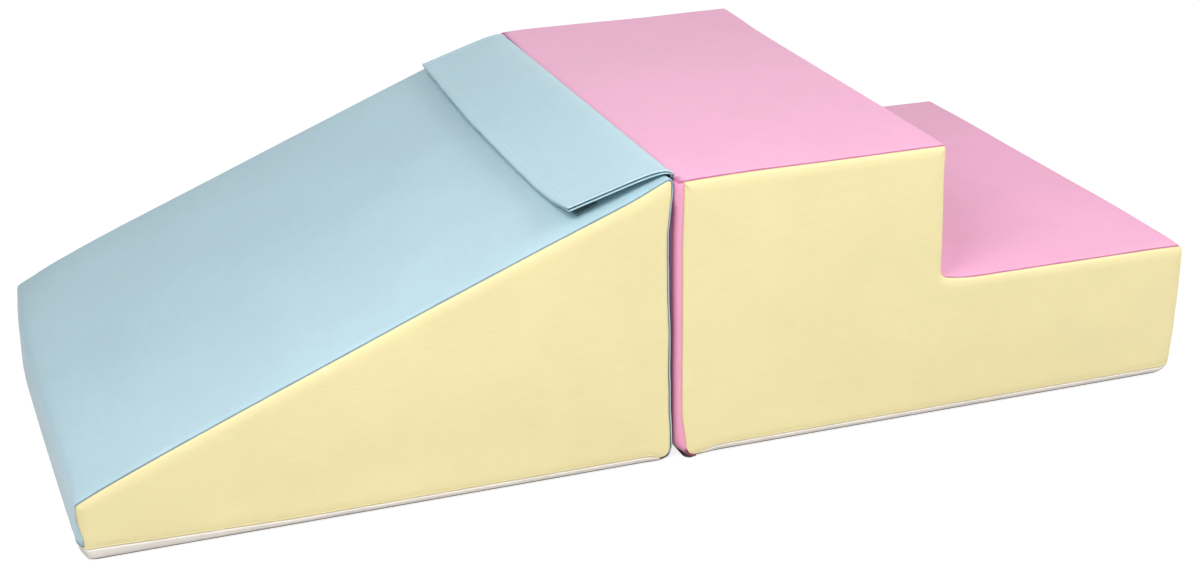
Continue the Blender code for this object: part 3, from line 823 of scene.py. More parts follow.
def bandPath(corners, inset, kind, y=0.0):
    fold = blocks["toeFold"] * float(smooth(*blocks["foldIn"], half - abs(y)))
    softer = [fold if kind == "ramp" and i == 1 else 0.0 for i in range(len(corners))]
    points, inward, marks = roundedOutline(corners, inset, softer)
    if kind == "ramp":
        first = footArc(corners[0][0], corners[0][2], 1, inset, seamZ + seamLead)
        low, high = marks[0][1] + 1, marks[3][0]
        points = np.vstack([first[0][::-1], points[low:high]])
        inward = np.vstack([first[1][::-1], inward[low:high]])
    else:
        low, high = marks[1][1] + 1, marks[5][0]
        startX = blocks["jointX"] + coverStart(y) + seamLead
        keep = points[low:high]
        ahead = keep[:, 0] > startX + jointSeam["startClear"]
        ahead[:1] = False
        firstAhead = int(np.argmax(ahead))
        points = np.vstack([[startX, keep[firstAhead][1]], keep[firstAhead:]])
        inward = np.vstack([[0, -1], inward[low:high][firstAhead:]])
    last = footArc(corners[-1][0], corners[-1][2], -1, inset, seamZ + seamLead)
    return np.vstack([points, last[0]]), np.vstack([inward, last[1]])


jointSeam = {
    "coverStart": 0.0034,  # the step cover begins here, past the flap's two plies
    "closedStart": 0.0019,  # and here where no flap comes between
    "startClear": 0.001,
    "panelTop": 0.0009,  # the joint panel's fold begins this far under the block's top
    "underFlap": 0.0030,  # and this much further down along the flap
    "lowest": 0.0012,  # it turns under to here
    "flapNearY": (-0.2712, -0.2685),  # where the flap's room begins at either end
    "flapFarY": (0.2612, 0.2585),
    "softer": 0.65,  # less painted shade along the seams beside the joint
    "panelFoot": 0.0085,  # radius of the side panel's corner beside its foot
    "footEnd": 0.0168,  # the base cloth's turned-up rim begins here
    "footRadius": 0.025,
    "footShare": 0.13,  # height of that rim before its rise, which is round footEnd
    "footRise": (-0.0020, 0.0010),
    "footStops": (-0.0030, -0.0018, -0.0006, 0.0006, 0.0018),
    # the painted shade of the narrow gap at the joint, and the painted shadow under the joint panel's foot
    "gapDark": 0.78,
    "gapLeast": 0.15,
    "gapAngles": (4, 14),  # degrees round the panel's turned edges where the gap's painted shade sets in
    "gapEnd": 72,
    "footDarkX": (0.0035, 0.010),
    "footDarkZ": (0.019, 0.011),
    "fold": 0.0008,  # radius of the panel's fold at its top
    "turns": 13,  # points round the side panel's foot corner
}


bandShade = {
    "reach": 0.0031,  # how far a seam's painted shade reaches
    "wear": 0.02,
    "behindX": (-0.012, -0.004),  # the joint's seams, with less painted shade, lie between these
    "beyondX": (0.022, 0.010),
    "least": 0.35,
    "wrapX": (-0.006, 0.0),  # the ramp cover turns round the wedge's back edge past these
    "wrapDown": (0.001, 0.014),
}


def bandCover(name, corners, kind, block, finish, node, seed):
    rows = acrossRows()
    grid, outs, seams = [], [], []
    for y, dip in rows:
        points, inward = bandPath(corners, dip, kind, y)
        across = np.full(len(points), y)
        if kind == "ramp":
            wrappedY, wrappedDip = wrappedRow(y, dip)
            wrapped, _ = bandPath(corners, wrappedDip, kind, y)
            share = smooth(*bandShade["wrapX"], points[:, 0])
            share = share * smooth(*bandShade["wrapDown"], blocks["height"] - points[:, 1])
            points = points + (wrapped - points) * share[:, None]
            across = y + (wrappedY - y) * share
        last, lastIn = points[-1], inward[-1]
        after = turnedIn(last, np.array([0.0, -1.0]), np.array([lastIn[0] / abs(lastIn[0]), 0.0]))
        if kind == "ramp":
            before = turnedIn(points[0], np.array([0.0, -1.0]), np.array([1.0, 0.0]))
        else:
            before = turnedIn(points[0], np.array([-1.0, 0.0]), np.array([0.0, -1.0]))
        line = np.vstack([before[::-1], points, after])
        first, final = np.repeat(inward[:1], len(before), 0), np.repeat(inward[-1:], len(after), 0)
        ways = np.vstack([first, inward, final])
        across = np.concatenate([np.full(len(before), across[0]), across, np.full(len(after), across[-1])])
        grid.append(np.stack([line[:, 0], across, line[:, 1]], 1))
        outs.append(np.stack([-ways[:, 0], np.zeros(len(line)), -ways[:, 1]], 1))
        gone = np.full(len(line), seamY - abs(y))
        gone[:len(before)] = 0
        gone[-len(after):] = 0
        run = np.cumsum(np.r_[0, np.linalg.norm(np.diff(points, axis=0), axis=1)])
        seams.append(np.minimum(gone, np.concatenate([np.zeros(len(before)), run, np.zeros(len(after))])))
    grid, outs, seams = np.array(grid), np.array(outs), np.array(seams)
    count = grid.shape[1]
    verts, outs, seams = grid.reshape(-1, 3), outs.reshape(-1, 3), seams.reshape(-1)
    if kind == "ramp":
        verts = toeWrinkles(verts, outs)
    verts = puckered(verts, outs, seams, seed)
    verts = settle(block, verts)
    # painted shade along the seams, with less of it beside the joint
    seamShade = 1 - smooth(0.0, bandShade["reach"], seams)
    atJoint = smooth(*bandShade["behindX"], verts[:, 0]) * smooth(*bandShade["beyondX"], verts[:, 0])
    least = bandShade["least"]
    seamShade *= 1 - jointSeam["softer"] * atJoint * (least + (1 - least) * underFlap(verts[:, 1]))
    layers = {"seamShade": seamShade, "edgeWear": np.exp(-seams / bandShade["wear"])}
    coverPiece(name, block, verts, gridFaces(len(rows), count), finish, layers, node)


wrinkles = {
    "fromToe": 0.016,
    "riseZ": (0.0, 0.012),
    "inset": 0.005,
    "reach": 0.030,
    "startInset": (0.005, 0.009),
    "broad": {"start": -0.03, "slant": 0.5, "wave": 0.0085, "depth": 0.0007},
    "fine": {"start": 0.0, "slant": 1.0, "wave": 0.0043, "depth": 0.0003},
    "sides": ((-1, 1.0), (1, 0.6)),  # shares of the depth at the near and the far side
}


def toeWrinkles(verts, outs):
    # short pulls in the cover at the toe's two corners
    w = wrinkles
    x, y, z = verts.T
    toe = np.exp(-np.abs(x - blocks["toeX"]) / w["fromToe"]) * smooth(*w["riseZ"], z)
    moved = verts.copy()
    for side, share in w["sides"]:
        inset = half - side * y
        near = np.exp(-np.maximum(inset - w["inset"], 0) / w["reach"]) * smooth(*w["startInset"], inset)
        lines = 0
        for pull in (w["broad"], w["fine"]):
            height = z + pull["start"] + inset * pull["slant"]
            lines = lines + pull["depth"] * np.sin(height / pull["wave"] * pi)
        moved += outs * (toe * near * lines * share)[:, None]
    return moved


# side panels
sidePanels = {
    "footRadius": 0.003,
    "backRadius": 0.0035,
    "backFootRadius": 0.010,
    "backLean": 0.0008,
    "rollStart": 0.00038,
    "insets": [0.0015, 0.0020, 0.0027, 0.0037, 0.0050, 0.0066, 0.0084, 0.0102, 0.0122, 0.0150],
    "buttExtra": 0.0008,
    "firstRow": 0.0011,  # how far from the seam the first row that can be seen counts
    "middle": 0.03,  # and the panel's middle
    "step": 0.0075,  # spacing of the points inside
    "stepKeep": 0.55,
    "turnDown": (0.018, 0.004),  # the roll begins between these under the wedge's top at its back
    "crown": (0.012, 0.09),
    # the seams' painted shade: how far it reaches, and how much less of it lies along the seams at the foot,
    # up to footTop
    "seamDark": 0.0022,
    "wear": 0.015,
    "footSofter": 0.94,
    "footTop": 0.004,
}


def panelCorners(block):
    # the corners of a side panel: x, z and radius
    foot = sidePanels["footRadius"]
    if block == "slide":
        return [
            (blocks["toeX"] + float(arcInset(seamZ, slideCorners[0][2])), seamZ, foot),
            slideCorners[1],
            (backEdgeX, blocks["height"] + backEdgeX * rampSlope, sidePanels["backRadius"]),
            (backEdgeX - sidePanels["backLean"], seamZ, sidePanels["backFootRadius"]),
        ]
    left = blocks["jointX"] + sewing["wrap"] + sewing["gap"]
    return [
        (left, seamZ, jointSeam["panelFoot"]),
        (left, blocks["height"], stepCorners[1][2]),
        *stepCorners[2:5],
        (blocks["endX"] - float(arcInset(seamZ, stepCorners[5][2])), seamZ, foot),
    ]


slideLine, _, slideMarks = roundedOutline(slideCorners)
stepLine, _, stepMarks = roundedOutline(stepCorners)
rolledPaths = {
    "slide": slideLine[slideMarks[0][1] - 4:slideMarks[2][1] + 1],
    "step": stepLine[stepMarks[1][1]:],
}
wrappedPath = stepLine[:stepMarks[1][1] + 1]


def sideDraw(block, spots):
    # how far the side of a block lies in at a place (x, z)
    under = distanceTo(rolledPaths[block], spots) - sewing["lower"]
    draw = roll(under, sewing["rollHeight"], sewing["rollDepth"])
    if block == "step":
        draw = np.maximum(draw, roll(distanceTo(wrappedPath, spots), sewing["wrap"], sewing["wrap"]))
    base = sewing["baseDraw"] * np.clip(1 - (spots[:, 1] - sewing["rim"]) / sewing["rim"], 0, 1) ** 2
    return np.maximum(draw, base)


def inwardGrid(ring, step, keep):
    # a grid of points inside a ring, clear of it
    low, high = ring.min(0), ring.max(0)
    gx, gz = np.meshgrid(np.arange(low[0] + step, high[0], step), np.arange(low[1] + step, high[1], step))
    spots = np.stack([gx.ravel(), gz.ravel()], 1)
    spots = spots[insideOf(ring, spots)]
    return spots[distanceTo(np.vstack([ring, ring[:1]]), spots) > keep]


def sidePanel(name, block, side, node, seed):
    s = sidePanels
    corners = panelCorners(block)
    line, inward, marks = roundedOutline(corners)
    count = len(line)
    butt = np.zeros(count)
    butt[:marks[0][1] + 1] = 1
    butt[marks[-1][0]:] = 1
    if block == "step":
        butt[marks[0][1]:marks[1][0] + 1] = 1
    rolled = 1 - butt
    for _ in range(3):
        rolled = (np.roll(rolled, 1) + rolled + np.roll(rolled, -1)) / 3
    if block == "slide":
        onBack = np.arange(count) > (marks[2][0] + marks[2][1]) // 2
        rolled = np.where(onBack, rolled * smooth(*s["turnDown"], blocks["height"] - line[:, 1]), rolled)
    firstInset = rolled * (s["rollStart"] + sewing["lower"]) + (1 - rolled) * seamLead
    edge = line + inward * firstInset[:, None]
    edgeY = half - sideDraw(block, edge)
    edgeY = np.where(rolled > 0.99, np.maximum(edgeY, seamY + seamLead), edgeY)
    start = np.stack([edge[:, 0], side * edgeY, edge[:, 1]], 1)
    outward3 = np.stack([-inward[:, 0], np.zeros(count), -inward[:, 1]], 1)
    yIn = np.tile([0.0, -float(side), 0.0], (count, 1))
    along = unit(outward3 * (1 - rolled)[:, None] + yIn * rolled[:, None])
    inside = unit(yIn * (1 - rolled)[:, None] - outward3 * rolled[:, None])
    rings = turnedIn(start, along, inside)[::-1] + [start]
    seamDistance = [np.full(count, 0.0)] * (len(rings) - 1) + [np.full(count, s["firstRow"])]
    extra = np.where(rolled > 0.5, 0.0, s["buttExtra"])
    for inset in s["insets"]:
        spot, _, _ = roundedOutline(corners, inset)
        dip = (1 - rolled) * sewing["valley"] * np.clip(1 - inset / sewing["valleyReach"], 0, 1) ** 2
        y = half - sideDraw(block, spot) - dip
        rings.append(np.stack([spot[:, 0], side * y, spot[:, 1]], 1))
        seamDistance.append(inset + extra)
    verts = np.vstack(rings)
    seamDistance = np.concatenate(seamDistance)
    faces = []
    for k in range(len(rings) - 1):
        for i in range(count):
            j = (i + 1) % count
            quad = (k * count + i, k * count + j, (k + 1) * count + j, (k + 1) * count + i)
            faces.append(quad if side > 0 else quad[::-1])
    last = rings[-1][:, [0, 2]]
    spots = inwardGrid(last, s["step"], s["step"] * s["stepKeep"])
    ringEdges = [(i, (i + 1) % count) for i in range(count)]
    out = delaunay_2d_cdt([Vector(p) for p in [*last, *spots]], ringEdges, [], 1, 1e-7)
    base = (len(rings) - 1) * count
    fill = np.stack([spots[:, 0], side * np.full(len(spots), half), spots[:, 1]], 1)
    verts = np.vstack([verts, fill])
    seamDistance = np.concatenate([seamDistance, np.full(len(spots), s["middle"])])
    origin = out[3]
    for tri in out[2]:
        ids = [base + min(origin[v]) if origin[v] else None for v in tri]
        if None in ids:
            continue
        a, b, c = (verts[i] for i in ids)
        up = np.cross(b - a, c - a)[1] * side
        faces.append(tuple(ids) if up > 0 else tuple(reversed(ids)))
    crown = smooth(*s["crown"], distanceTo(np.vstack([line, line[:1]]), verts[:, [0, 2]]))
    verts[:, 1] += side * settling["sideCrown"] * crown
    outs = np.tile([0.0, float(side), 0.0], (len(verts), 1))
    verts = puckered(verts, outs, seamDistance, seed)
    verts = settle(block, verts)
    # painted shade along the seams: less of it at the butt seams, least at the foot
    softer = np.where(line[:, 1] < seamZ + s["footTop"], s["footSofter"], jointSeam["softer"])
    darker = 1 - np.tile(softer * (1 - rolled), len(rings))
    seamShade = (1 - smooth(0.0, s["seamDark"], seamDistance)) * np.concatenate([darker, np.ones(len(fill))])
    layers = {"seamShade": seamShade, "edgeWear": np.exp(-seamDistance / s["wear"])}
    coverPiece(name, block, verts, faces, finishes["yellow"], layers, node)


def insideOf(ring, spots):
    hit = np.zeros(len(spots), bool)
    for a, b in zip(ring, np.roll(ring, -1, 0)):
        crosses = (a[1] > spots[:, 1]) != (b[1] > spots[:, 1])
        rise = b[1] - a[1]
        if abs(rise) < 1e-12:
            continue
        at = a[0] + (spots[:, 1] - a[1]) / rise * (b[0] - a[0])
        hit ^= crosses & (spots[:, 0] < at)
    return hit


# the step block's panel at the joint
def gapShade(angle, x, z):
    # painted shade of the narrow gap on the panel's turned edges, and a painted shadow under its foot
    around = abs(angle) * 180 / pi
    j = jointSeam
    dark = j["gapLeast"] + j["gapDark"] * np.clip(1 - around / j["gapEnd"], 0, 1)
    edge = smooth(*j["gapAngles"], around) * dark
    return np.maximum(edge, smooth(*j["footDarkX"], x) * smooth(*j["footDarkZ"], z))


# the joint panel's seams: where their painted shade reaches, and where the gap's painted shade fades out at
# the top (topZ)
panelShades = {
    "drops": [0.0009, 0.0016, 0.0026, 0.004, 0.006, 0.0085, 0.012],
    "fromFoot": [0.001, 0.004, 0.008, 0.012],  # how far from their seams the first and last rows count
    "toTop": [0.006, 0.004, 0.0026, 0.001],
    "middle": 0.05,
    "seamDark": 0.0024,
    "wear": 0.02,
    "topZ": (0.296, 0.270),
}


def footBeside(count):
    # the line beside the side panel's foot corner, down to the base's rim, as evenly spaced points
    left = blocks["jointX"] + sewing["wrap"] + sewing["gap"] / 2
    bend = jointSeam["panelFoot"] + sewing["gap"] / 2
    turns = np.linspace(0, pi / 2, jointSeam["turns"])
    low = seamZ - sewing["gap"] / 2
    line = np.stack([left + bend * (1 - np.cos(turns)), low + bend * (1 - np.sin(turns))], 1)
    line = np.vstack([[[left, jointSeam["footRadius"]]], line, [[jointSeam["footEnd"], line[-1][1]]]])
    run = np.r_[0, np.cumsum(np.linalg.norm(np.diff(line, axis=0), axis=1))]
    want = np.linspace(0, run[-1], count)
    return np.stack([np.interp(want, run, line[:, 0]), np.interp(want, run, line[:, 1])], 1)


def foldedOver(crest):
    # the panel's top edge folds over and down into the joint
    fold = jointSeam["fold"]
    angles = np.radians([30, 60, 90, 120, 150, 180])
    over = [crest + np.array([fold * (1 - cos(t)), fold * sin(t)]) for t in angles]
    return over + [over[-1] + np.array([0.0, -drop]) for drop in (0.0012, 0.0024)]


def jointPanel(name, node):
    angles = np.radians(np.linspace(0, 90, 10))
    wrap = sewing["wrap"]
    rows = []
    flatHalf = half - wrap
    inner = np.linspace(-flatHalf, flatHalf, 64)
    for y in inner[1:-1]:
        rows.append((0.0, y, 0.0))
    positive = [(wrap * (1 - cos(a)), flatHalf + wrap * sin(a), float(a)) for a in angles]
    positive[-1] = (wrap + sewing["gap"] / 2 - seamLead, half, radians(90))
    turned = []
    edgeX = positive[-1][0]
    for a in turnAngles:
        turned.append((edgeX + sewing["turn"] * sin(a), half - sewing["turn"] * (1 - cos(a)), radians(90)))
    for share in (0.5, 1.0):
        y = half - sewing["turn"] - sewing["flange"] * share
        turned.append((turned[len(turnAngles) - 1][0], y, radians(90)))
    right = positive + turned
    rows = [(x, -y, -a) for x, y, a in reversed(right)] + rows + right
    grid, seams, dark = [], [], []
    front, _ = footArc(blocks["jointX"], jointSeam["footRadius"], 1, 0.0, jointSeam["lowest"] + seamLead, 18)
    beside = footBeside(len(front))
    for xIn, y, a in rows:
        side = 1 if y > 0 else -1
        foot = (front + (beside - front) * (xIn / (wrap + sewing["gap"] / 2)))[::-1]
        topZ = blocks["height"] - jointSeam["panelTop"] - jointSeam["underFlap"] * float(underFlap(y))
        upper = np.array([[blocks["jointX"] + xIn, topZ - d] for d in reversed(panelShades["drops"])])
        straight = np.linspace(0.0, 1.0, 42)[1:-1, None]
        middle = foot[-1] * (1 - straight) + upper[0] * straight
        line = np.vstack([foot, middle, upper])
        before = turnedIn(foot[0], np.array([0.0, -1.0]), np.array([1.0, 0.0]))[::-1]
        after = foldedOver(upper[-1])
        full = np.vstack([before, line, after])
        over = roll(blocks["height"] - full[:, 1], sewing["rollHeight"], sewing["rollDepth"])
        yy = side * np.minimum(abs(y), half - over)
        grid.append(np.stack([full[:, 0], yy, full[:, 1]], 1))
        inMiddle = np.full(len(line) - 8, panelShades["middle"])
        gone = np.concatenate([np.zeros(len(before)), panelShades["fromFoot"], inMiddle, panelShades["toTop"],
                               np.zeros(len(after))])
        toSide = panelShades["middle"]
        if abs(y) > flatHalf - 0.001:
            toSide = max(0.0, (wrap + sewing["gap"] / 2 - xIn))
        if abs(a) > radians(89) and abs(y) < half - 0.0001:
            toSide = 0.0
        seams.append(np.minimum(gone, toSide))
        # the gap's painted shade, fading out towards the panel's top
        dark.append(gapShade(a, full[:, 0], full[:, 1]) * smooth(*panelShades["topZ"], full[:, 1]))
    grid, seams = np.array(grid), np.array(seams)
    verts, seams = grid.reshape(-1, 3), seams.reshape(-1)
    verts = settle("step", pinchFold(verts))
    # painted shade along the seams, with the gap's painted shade laid over it
    seamShade = (1 - smooth(0.0, panelShades["seamDark"], seams)) * (1 - jointSeam["softer"])
    seamShade = np.maximum(seamShade, np.concatenate(dark))
    layers = {"seamShade": seamShade, "edgeWear": np.exp(-seams / panelShades["wear"])}
    faces = gridFaces(len(rows), grid.shape[1], flip=True)
    coverPiece(name, "step", verts, faces, finishes["shadedJointPink"], layers, node)


pinch = {
    "inY": 0.003,
    "atX": 0.006,
    "reach": 0.008,
    "lowZ": (0.255, 0.292),
    "highZ": (0.300, 0.292),
    "depth": 0.0011,
    "slant": 1.5,
    "wave": 0.011,
}


def pinchFold(verts):
    # the small gathered fold at the top of the two wrapped corners
    x, y, z = verts.T
    moved = verts.copy()
    for side in (-1, 1):
        near = np.exp(-np.hypot(half - side * y - pinch["inY"], x - pinch["atX"]) / pinch["reach"])
        near = near * smooth(*pinch["lowZ"], z) * smooth(*pinch["highZ"], z)
        folds = np.abs(np.sin((z + x * pinch["slant"]) / pinch["wave"] * pi))
        moved[:, 1] -= side * near * pinch["depth"] * folds
    return moved


bandCover("rampCover", slideCorners, "ramp", "slide", finishes["blue"], "slide_ramp_cover", 31)
bandCover("stepCover", stepCorners, "step", "step", finishes["pink"], "step_tread_cover", 32)
sidePanel("slideNearSide", "slide", -1, "slide_near_side_panel", 33)
sidePanel("slideFarSide", "slide", 1, "slide_far_side_panel", 34)
sidePanel("stepNearSide", "step", -1, "step_near_side_panel", 35)
sidePanel("stepFarSide", "step", 1, "step_far_side_panel", 36)
jointPanel("jointSidePanel", "step_joint_panel")
print("covers sewn")


# base cloth
zipSizes = {
    "fromFarSide": 0.085,
    "endMargin": 0.075,
    "overrun": 0.010,
    "tapeWidth": 0.013,
    "tape": 0.0006,
    "coilWidth": 0.0022,
    "coilGap": 0.0010,
    "coilMiddle": 0.0029,  # height of the coils' middle
    "coilIn": 0.001,
    "sewnOut": 0.0022,  # the stitches run this far outside the slot
    "sewnHeight": 0.00010,
    "sewnIn": 0.012,
    "sliderWidth": 0.0084,
    "sideRoom": 0.001,
    "rowKeep": 0.011,  # no other point of the base's end edges comes this near to the zip's line
    "slotKeep": 0.003,
}
zipY = half - zipSizes["fromFarSide"]
slotHalf = zipSizes["sliderWidth"] / 2 + zipSizes["sideRoom"]


baseCloth = {
    "longEdge": 0.02,  # plan edges over this get points along them
    "edgeStep": 0.009,
    "stopKeep": 0.003,
    "endFade": (0.150, 0.012),  # the rounded feet reach this far in from the ends
    "cornerPart": 0.03,
    "gridStep": 0.011,
    "gridKeep": 0.006,
    "gridIn": {"left": 0.03, "right": 0.02, "near": 0.02, "far": 0.015},
    # painted shade on the base cloth: at its rim's seam, a shadow line along the floor (footZ) and at the
    # wedge's back beside the joint (backX)
    "rimDark": 0.3,
    "rimReach": 0.0016,
    "footZ": (0.0048, 0.0028),
    "backX": (-0.016, -0.010),
}


def planLine(leftX, rightX, wrappedLeft):
    # the base's plan outline from its four corners, anticlockwise seen from above, and the way in
    angles = np.radians(np.linspace(0, 90, 9))
    spots, ways = [], []
    rightSize = (sewing["rollHeight"], sewing["rollDepth"])
    leftSize = (sewing["wrap"], sewing["wrap"]) if wrappedLeft else rightSize
    for x, sideX, sideY, size in ((leftX, -1, -1, leftSize), (rightX, 1, -1, rightSize),
                                  (rightX, 1, 1, rightSize), (leftX, -1, 1, leftSize)):
        order = angles if sideX * sideY > 0 else angles[::-1]
        for a in order:
            y = sideY * (half - sewing["baseDraw"] - size[1] * (1 - sin(a)))
            spots.append((x - sideX * size[0] * (1 - cos(a)), y))
            ways.append(unit(np.array([-sideX * cos(a) * size[1], -sideY * sin(a) * size[0]])))
    return spots, ways


def edgeStops(block, a, b, length):
    # shares along a plan edge at which it gets points, with one on the zip's line and some at the rim's rise
    stops = set(np.round(np.linspace(0, 1, max(2, int(length / baseCloth["edgeStep"])) + 1)[1:-1], 6))
    if abs(a[0] - b[0]) < 1e-6:
        fromZip = {s: abs(a[1] + (b[1] - a[1]) * s - zipY) for s in stops}
        stops = {s for s in stops if fromZip[s] > zipSizes["rowKeep"]} | {(zipY - a[1]) / (b[1] - a[1])}
    elif block == "step":
        rises = [(jointSeam["footEnd"] + d - a[0]) / (b[0] - a[0]) for d in jointSeam["footStops"]]
        fromRise = {s: min(abs(s - r) for r in rises) * length for s in stops}
        stops = {s for s in stops if fromRise[s] > baseCloth["stopKeep"]} | set(rises)
    return sorted(stops)


def basePlan(block, leftX, rightX):
    spots, ways = planLine(leftX, rightX, block == "step")
    loop, loopWays = [], []
    for i in range(len(spots)):
        a, b = np.array(spots[i]), np.array(spots[(i + 1) % len(spots)])
        loop.append(a)
        loopWays.append(ways[i])
        length = np.linalg.norm(b - a)
        if length < baseCloth["longEdge"]:
            continue
        way = unit(np.array([a[1] - b[1], b[0] - a[0]]))
        for s in edgeStops(block, a, b, length):
            loop.append(a + (b - a) * s)
            loopWays.append(way)
    return np.array(loop), np.array(loopWays)


def basePanels(block, leftX, rightX, leftRadius, rightRadius, nodes):
    loop, loopWays = basePlan(block, leftX, rightX)
    middle = (leftX + rightX) / 2
    top = sewing["rim"]
    profile = [(top - seamLead, 0.0)]
    for a in np.radians([78, 64, 50, 36, 22, 10, 0]):
        profile.append((top - top * cos(a), top - top * sin(a)))

    def ringAt(z, yIn):
        radius = np.where(loop[:, 0] < middle, leftRadius, rightRadius)
        fromEnd = np.minimum(loop[:, 0] - leftX, rightX - loop[:, 0])
        shift = arcInset(z, radius) * smooth(*baseCloth["endFade"], fromEnd)
        x = loop[:, 0] + np.where(loop[:, 0] < middle, shift, -shift)
        corner = half - baseCloth["cornerPart"]
        y = loop[:, 1] - np.sign(loop[:, 1]) * yIn * np.minimum(1, np.abs(loop[:, 1]) / corner)
        endPart = np.abs(loop[:, 1]) < corner
        y = np.where(endPart, loop[:, 1] * (half - yIn) / half, y)
        return np.stack([x, y, np.full(len(loop), z)], 1)

    start = ringAt(profile[0][0], 0.0)
    up = np.tile([0.0, 0.0, 1.0], (len(loop), 1))
    inside = np.stack([loopWays[:, 0], loopWays[:, 1], np.zeros(len(loop))], 1)
    rings = turnedIn(start, up, inside)[::-1] + [start]
    for z, yIn in profile[1:]:
        rings.append(ringAt(z, yIn))
    zipRow = np.abs(loop[:, 1] - zipY) < 1e-6
    for ring in rings:
        ring[zipRow, 1] = zipY
    n = len(loop)
    verts = np.vstack(rings)
    faces = []
    for k in range(len(rings) - 1):
        for i in range(n):
            j = (i + 1) % n
            faces.append((k * n + i, (k + 1) * n + i, (k + 1) * n + j, k * n + j))
    last = rings[-1][:, :2]
    slotX = (leftX + zipSizes["endMargin"], rightX - zipSizes["endMargin"])
    low, high = zipY - slotHalf, zipY + slotHalf
    left, right = slotX
    slot = [(left, low), (right, low), (right, high), (left, high), (left, zipY), (right, zipY)]
    ends = [i for i in range(n) if zipRow[i]]
    ends.sort(key=lambda i: last[i][0])
    room, step = baseCloth["gridIn"], baseCloth["gridStep"]
    gridX = np.arange(leftX + room["left"], rightX - room["right"], step)
    gridY = np.arange(-half + room["near"], half - room["far"], step)
    gx, gy = np.meshgrid(gridX, gridY)
    grid = np.stack([gx.ravel(), gy.ravel()], 1)
    grid = grid[insideOf(last, grid)]
    grid = grid[distanceTo(np.vstack([last, last[:1]]), grid) > baseCloth["gridKeep"]]
    grid = grid[np.abs(grid[:, 1] - zipY) > slotHalf + zipSizes["slotKeep"]]
    points = [Vector(p) for p in [*last, *slot, *grid]]
    edges = [(i, (i + 1) % n) for i in range(n)]
    edges += [(n, n + 1), (n + 1, n + 5), (n + 5, n + 2), (n + 2, n + 3), (n + 3, n + 4), (n + 4, n)]
    edges += [(ends[0], n + 4), (n + 5, ends[1])]
    out = delaunay_2d_cdt(points, edges, [], 1, 1e-7)
    first = (len(rings) - 1) * n
    flat = np.array([tuple(p) for p in points[n:]])
    verts = np.vstack([verts, np.stack([flat[:, 0], flat[:, 1], np.zeros(len(flat))], 1)])
    for tri in out[2]:
        ids = [first + min(out[3][v]) for v in tri]
        a, b, c = (verts[i] for i in ids)
        centre = (a + b + c) / 3
        if slotX[0] < centre[0] < slotX[1] and abs(centre[1] - zipY) < slotHalf:
            continue
        down = np.cross(b - a, c - a)[2] < 0
        faces.append(tuple(ids) if down else tuple(reversed(ids)))
    for name, far, node in ((block + "Base", False, nodes[0]), (block + "BaseStrip", True, nodes[1])):
        chosen = [f for f in faces if (sum(verts[i][1] for i in f) / len(f) > zipY) == far]
        used = sorted({i for f in chosen for i in f})
        place = {i: k for k, i in enumerate(used)}
        part = verts[used].copy()
        onZip = np.abs(part[:, 1] - zipY) < 1e-6
        part[onZip, 1] += (1 if far else -1) * sewing["gap"] / 2
        # painted shade at the rim's seam
        fromRim = np.clip(sewing["rim"] - part[:, 2], 0, 1)
        rimShade = baseCloth["rimDark"] * (1 - smooth(0.0, baseCloth["rimReach"], fromRim))
        if block == "step":
            least = jointSeam["footShare"]
            rise = smooth(*jointSeam["footRise"], part[:, 0] - jointSeam["footEnd"])
            part[:, 2] *= least + (1 - least) * rise
        # painted shade at the wedge's back, in the gap beside the joint
        backShade = smooth(*baseCloth["backX"], part[:, 0]) * (block == "slide")
        part = settle(block, part)
        # a painted shadow line along the floor, then all the painted shade together
        footShade = smooth(*baseCloth["footZ"], part[:, 2])
        seamShade = np.maximum(np.maximum(rimShade, footShade), backShade)
        partFaces = [tuple(place[i] for i in f) for f in chosen]
        layers = {"seamShade": seamShade}
        coverPiece(name, block, part, partFaces, finishes["base"], layers, node)


basePanels("slide", blocks["toeX"], blocks["slideBackX"], slideCorners[0][2], slideCorners[-1][2],
           ("slide_base_panel", "slide_base_zip_strip"))
basePanels("step", blocks["jointX"], blocks["endX"], stepCorners[0][2], stepCorners[-1][2],
           ("step_base_panel", "step_base_zip_strip"))
print("base made")


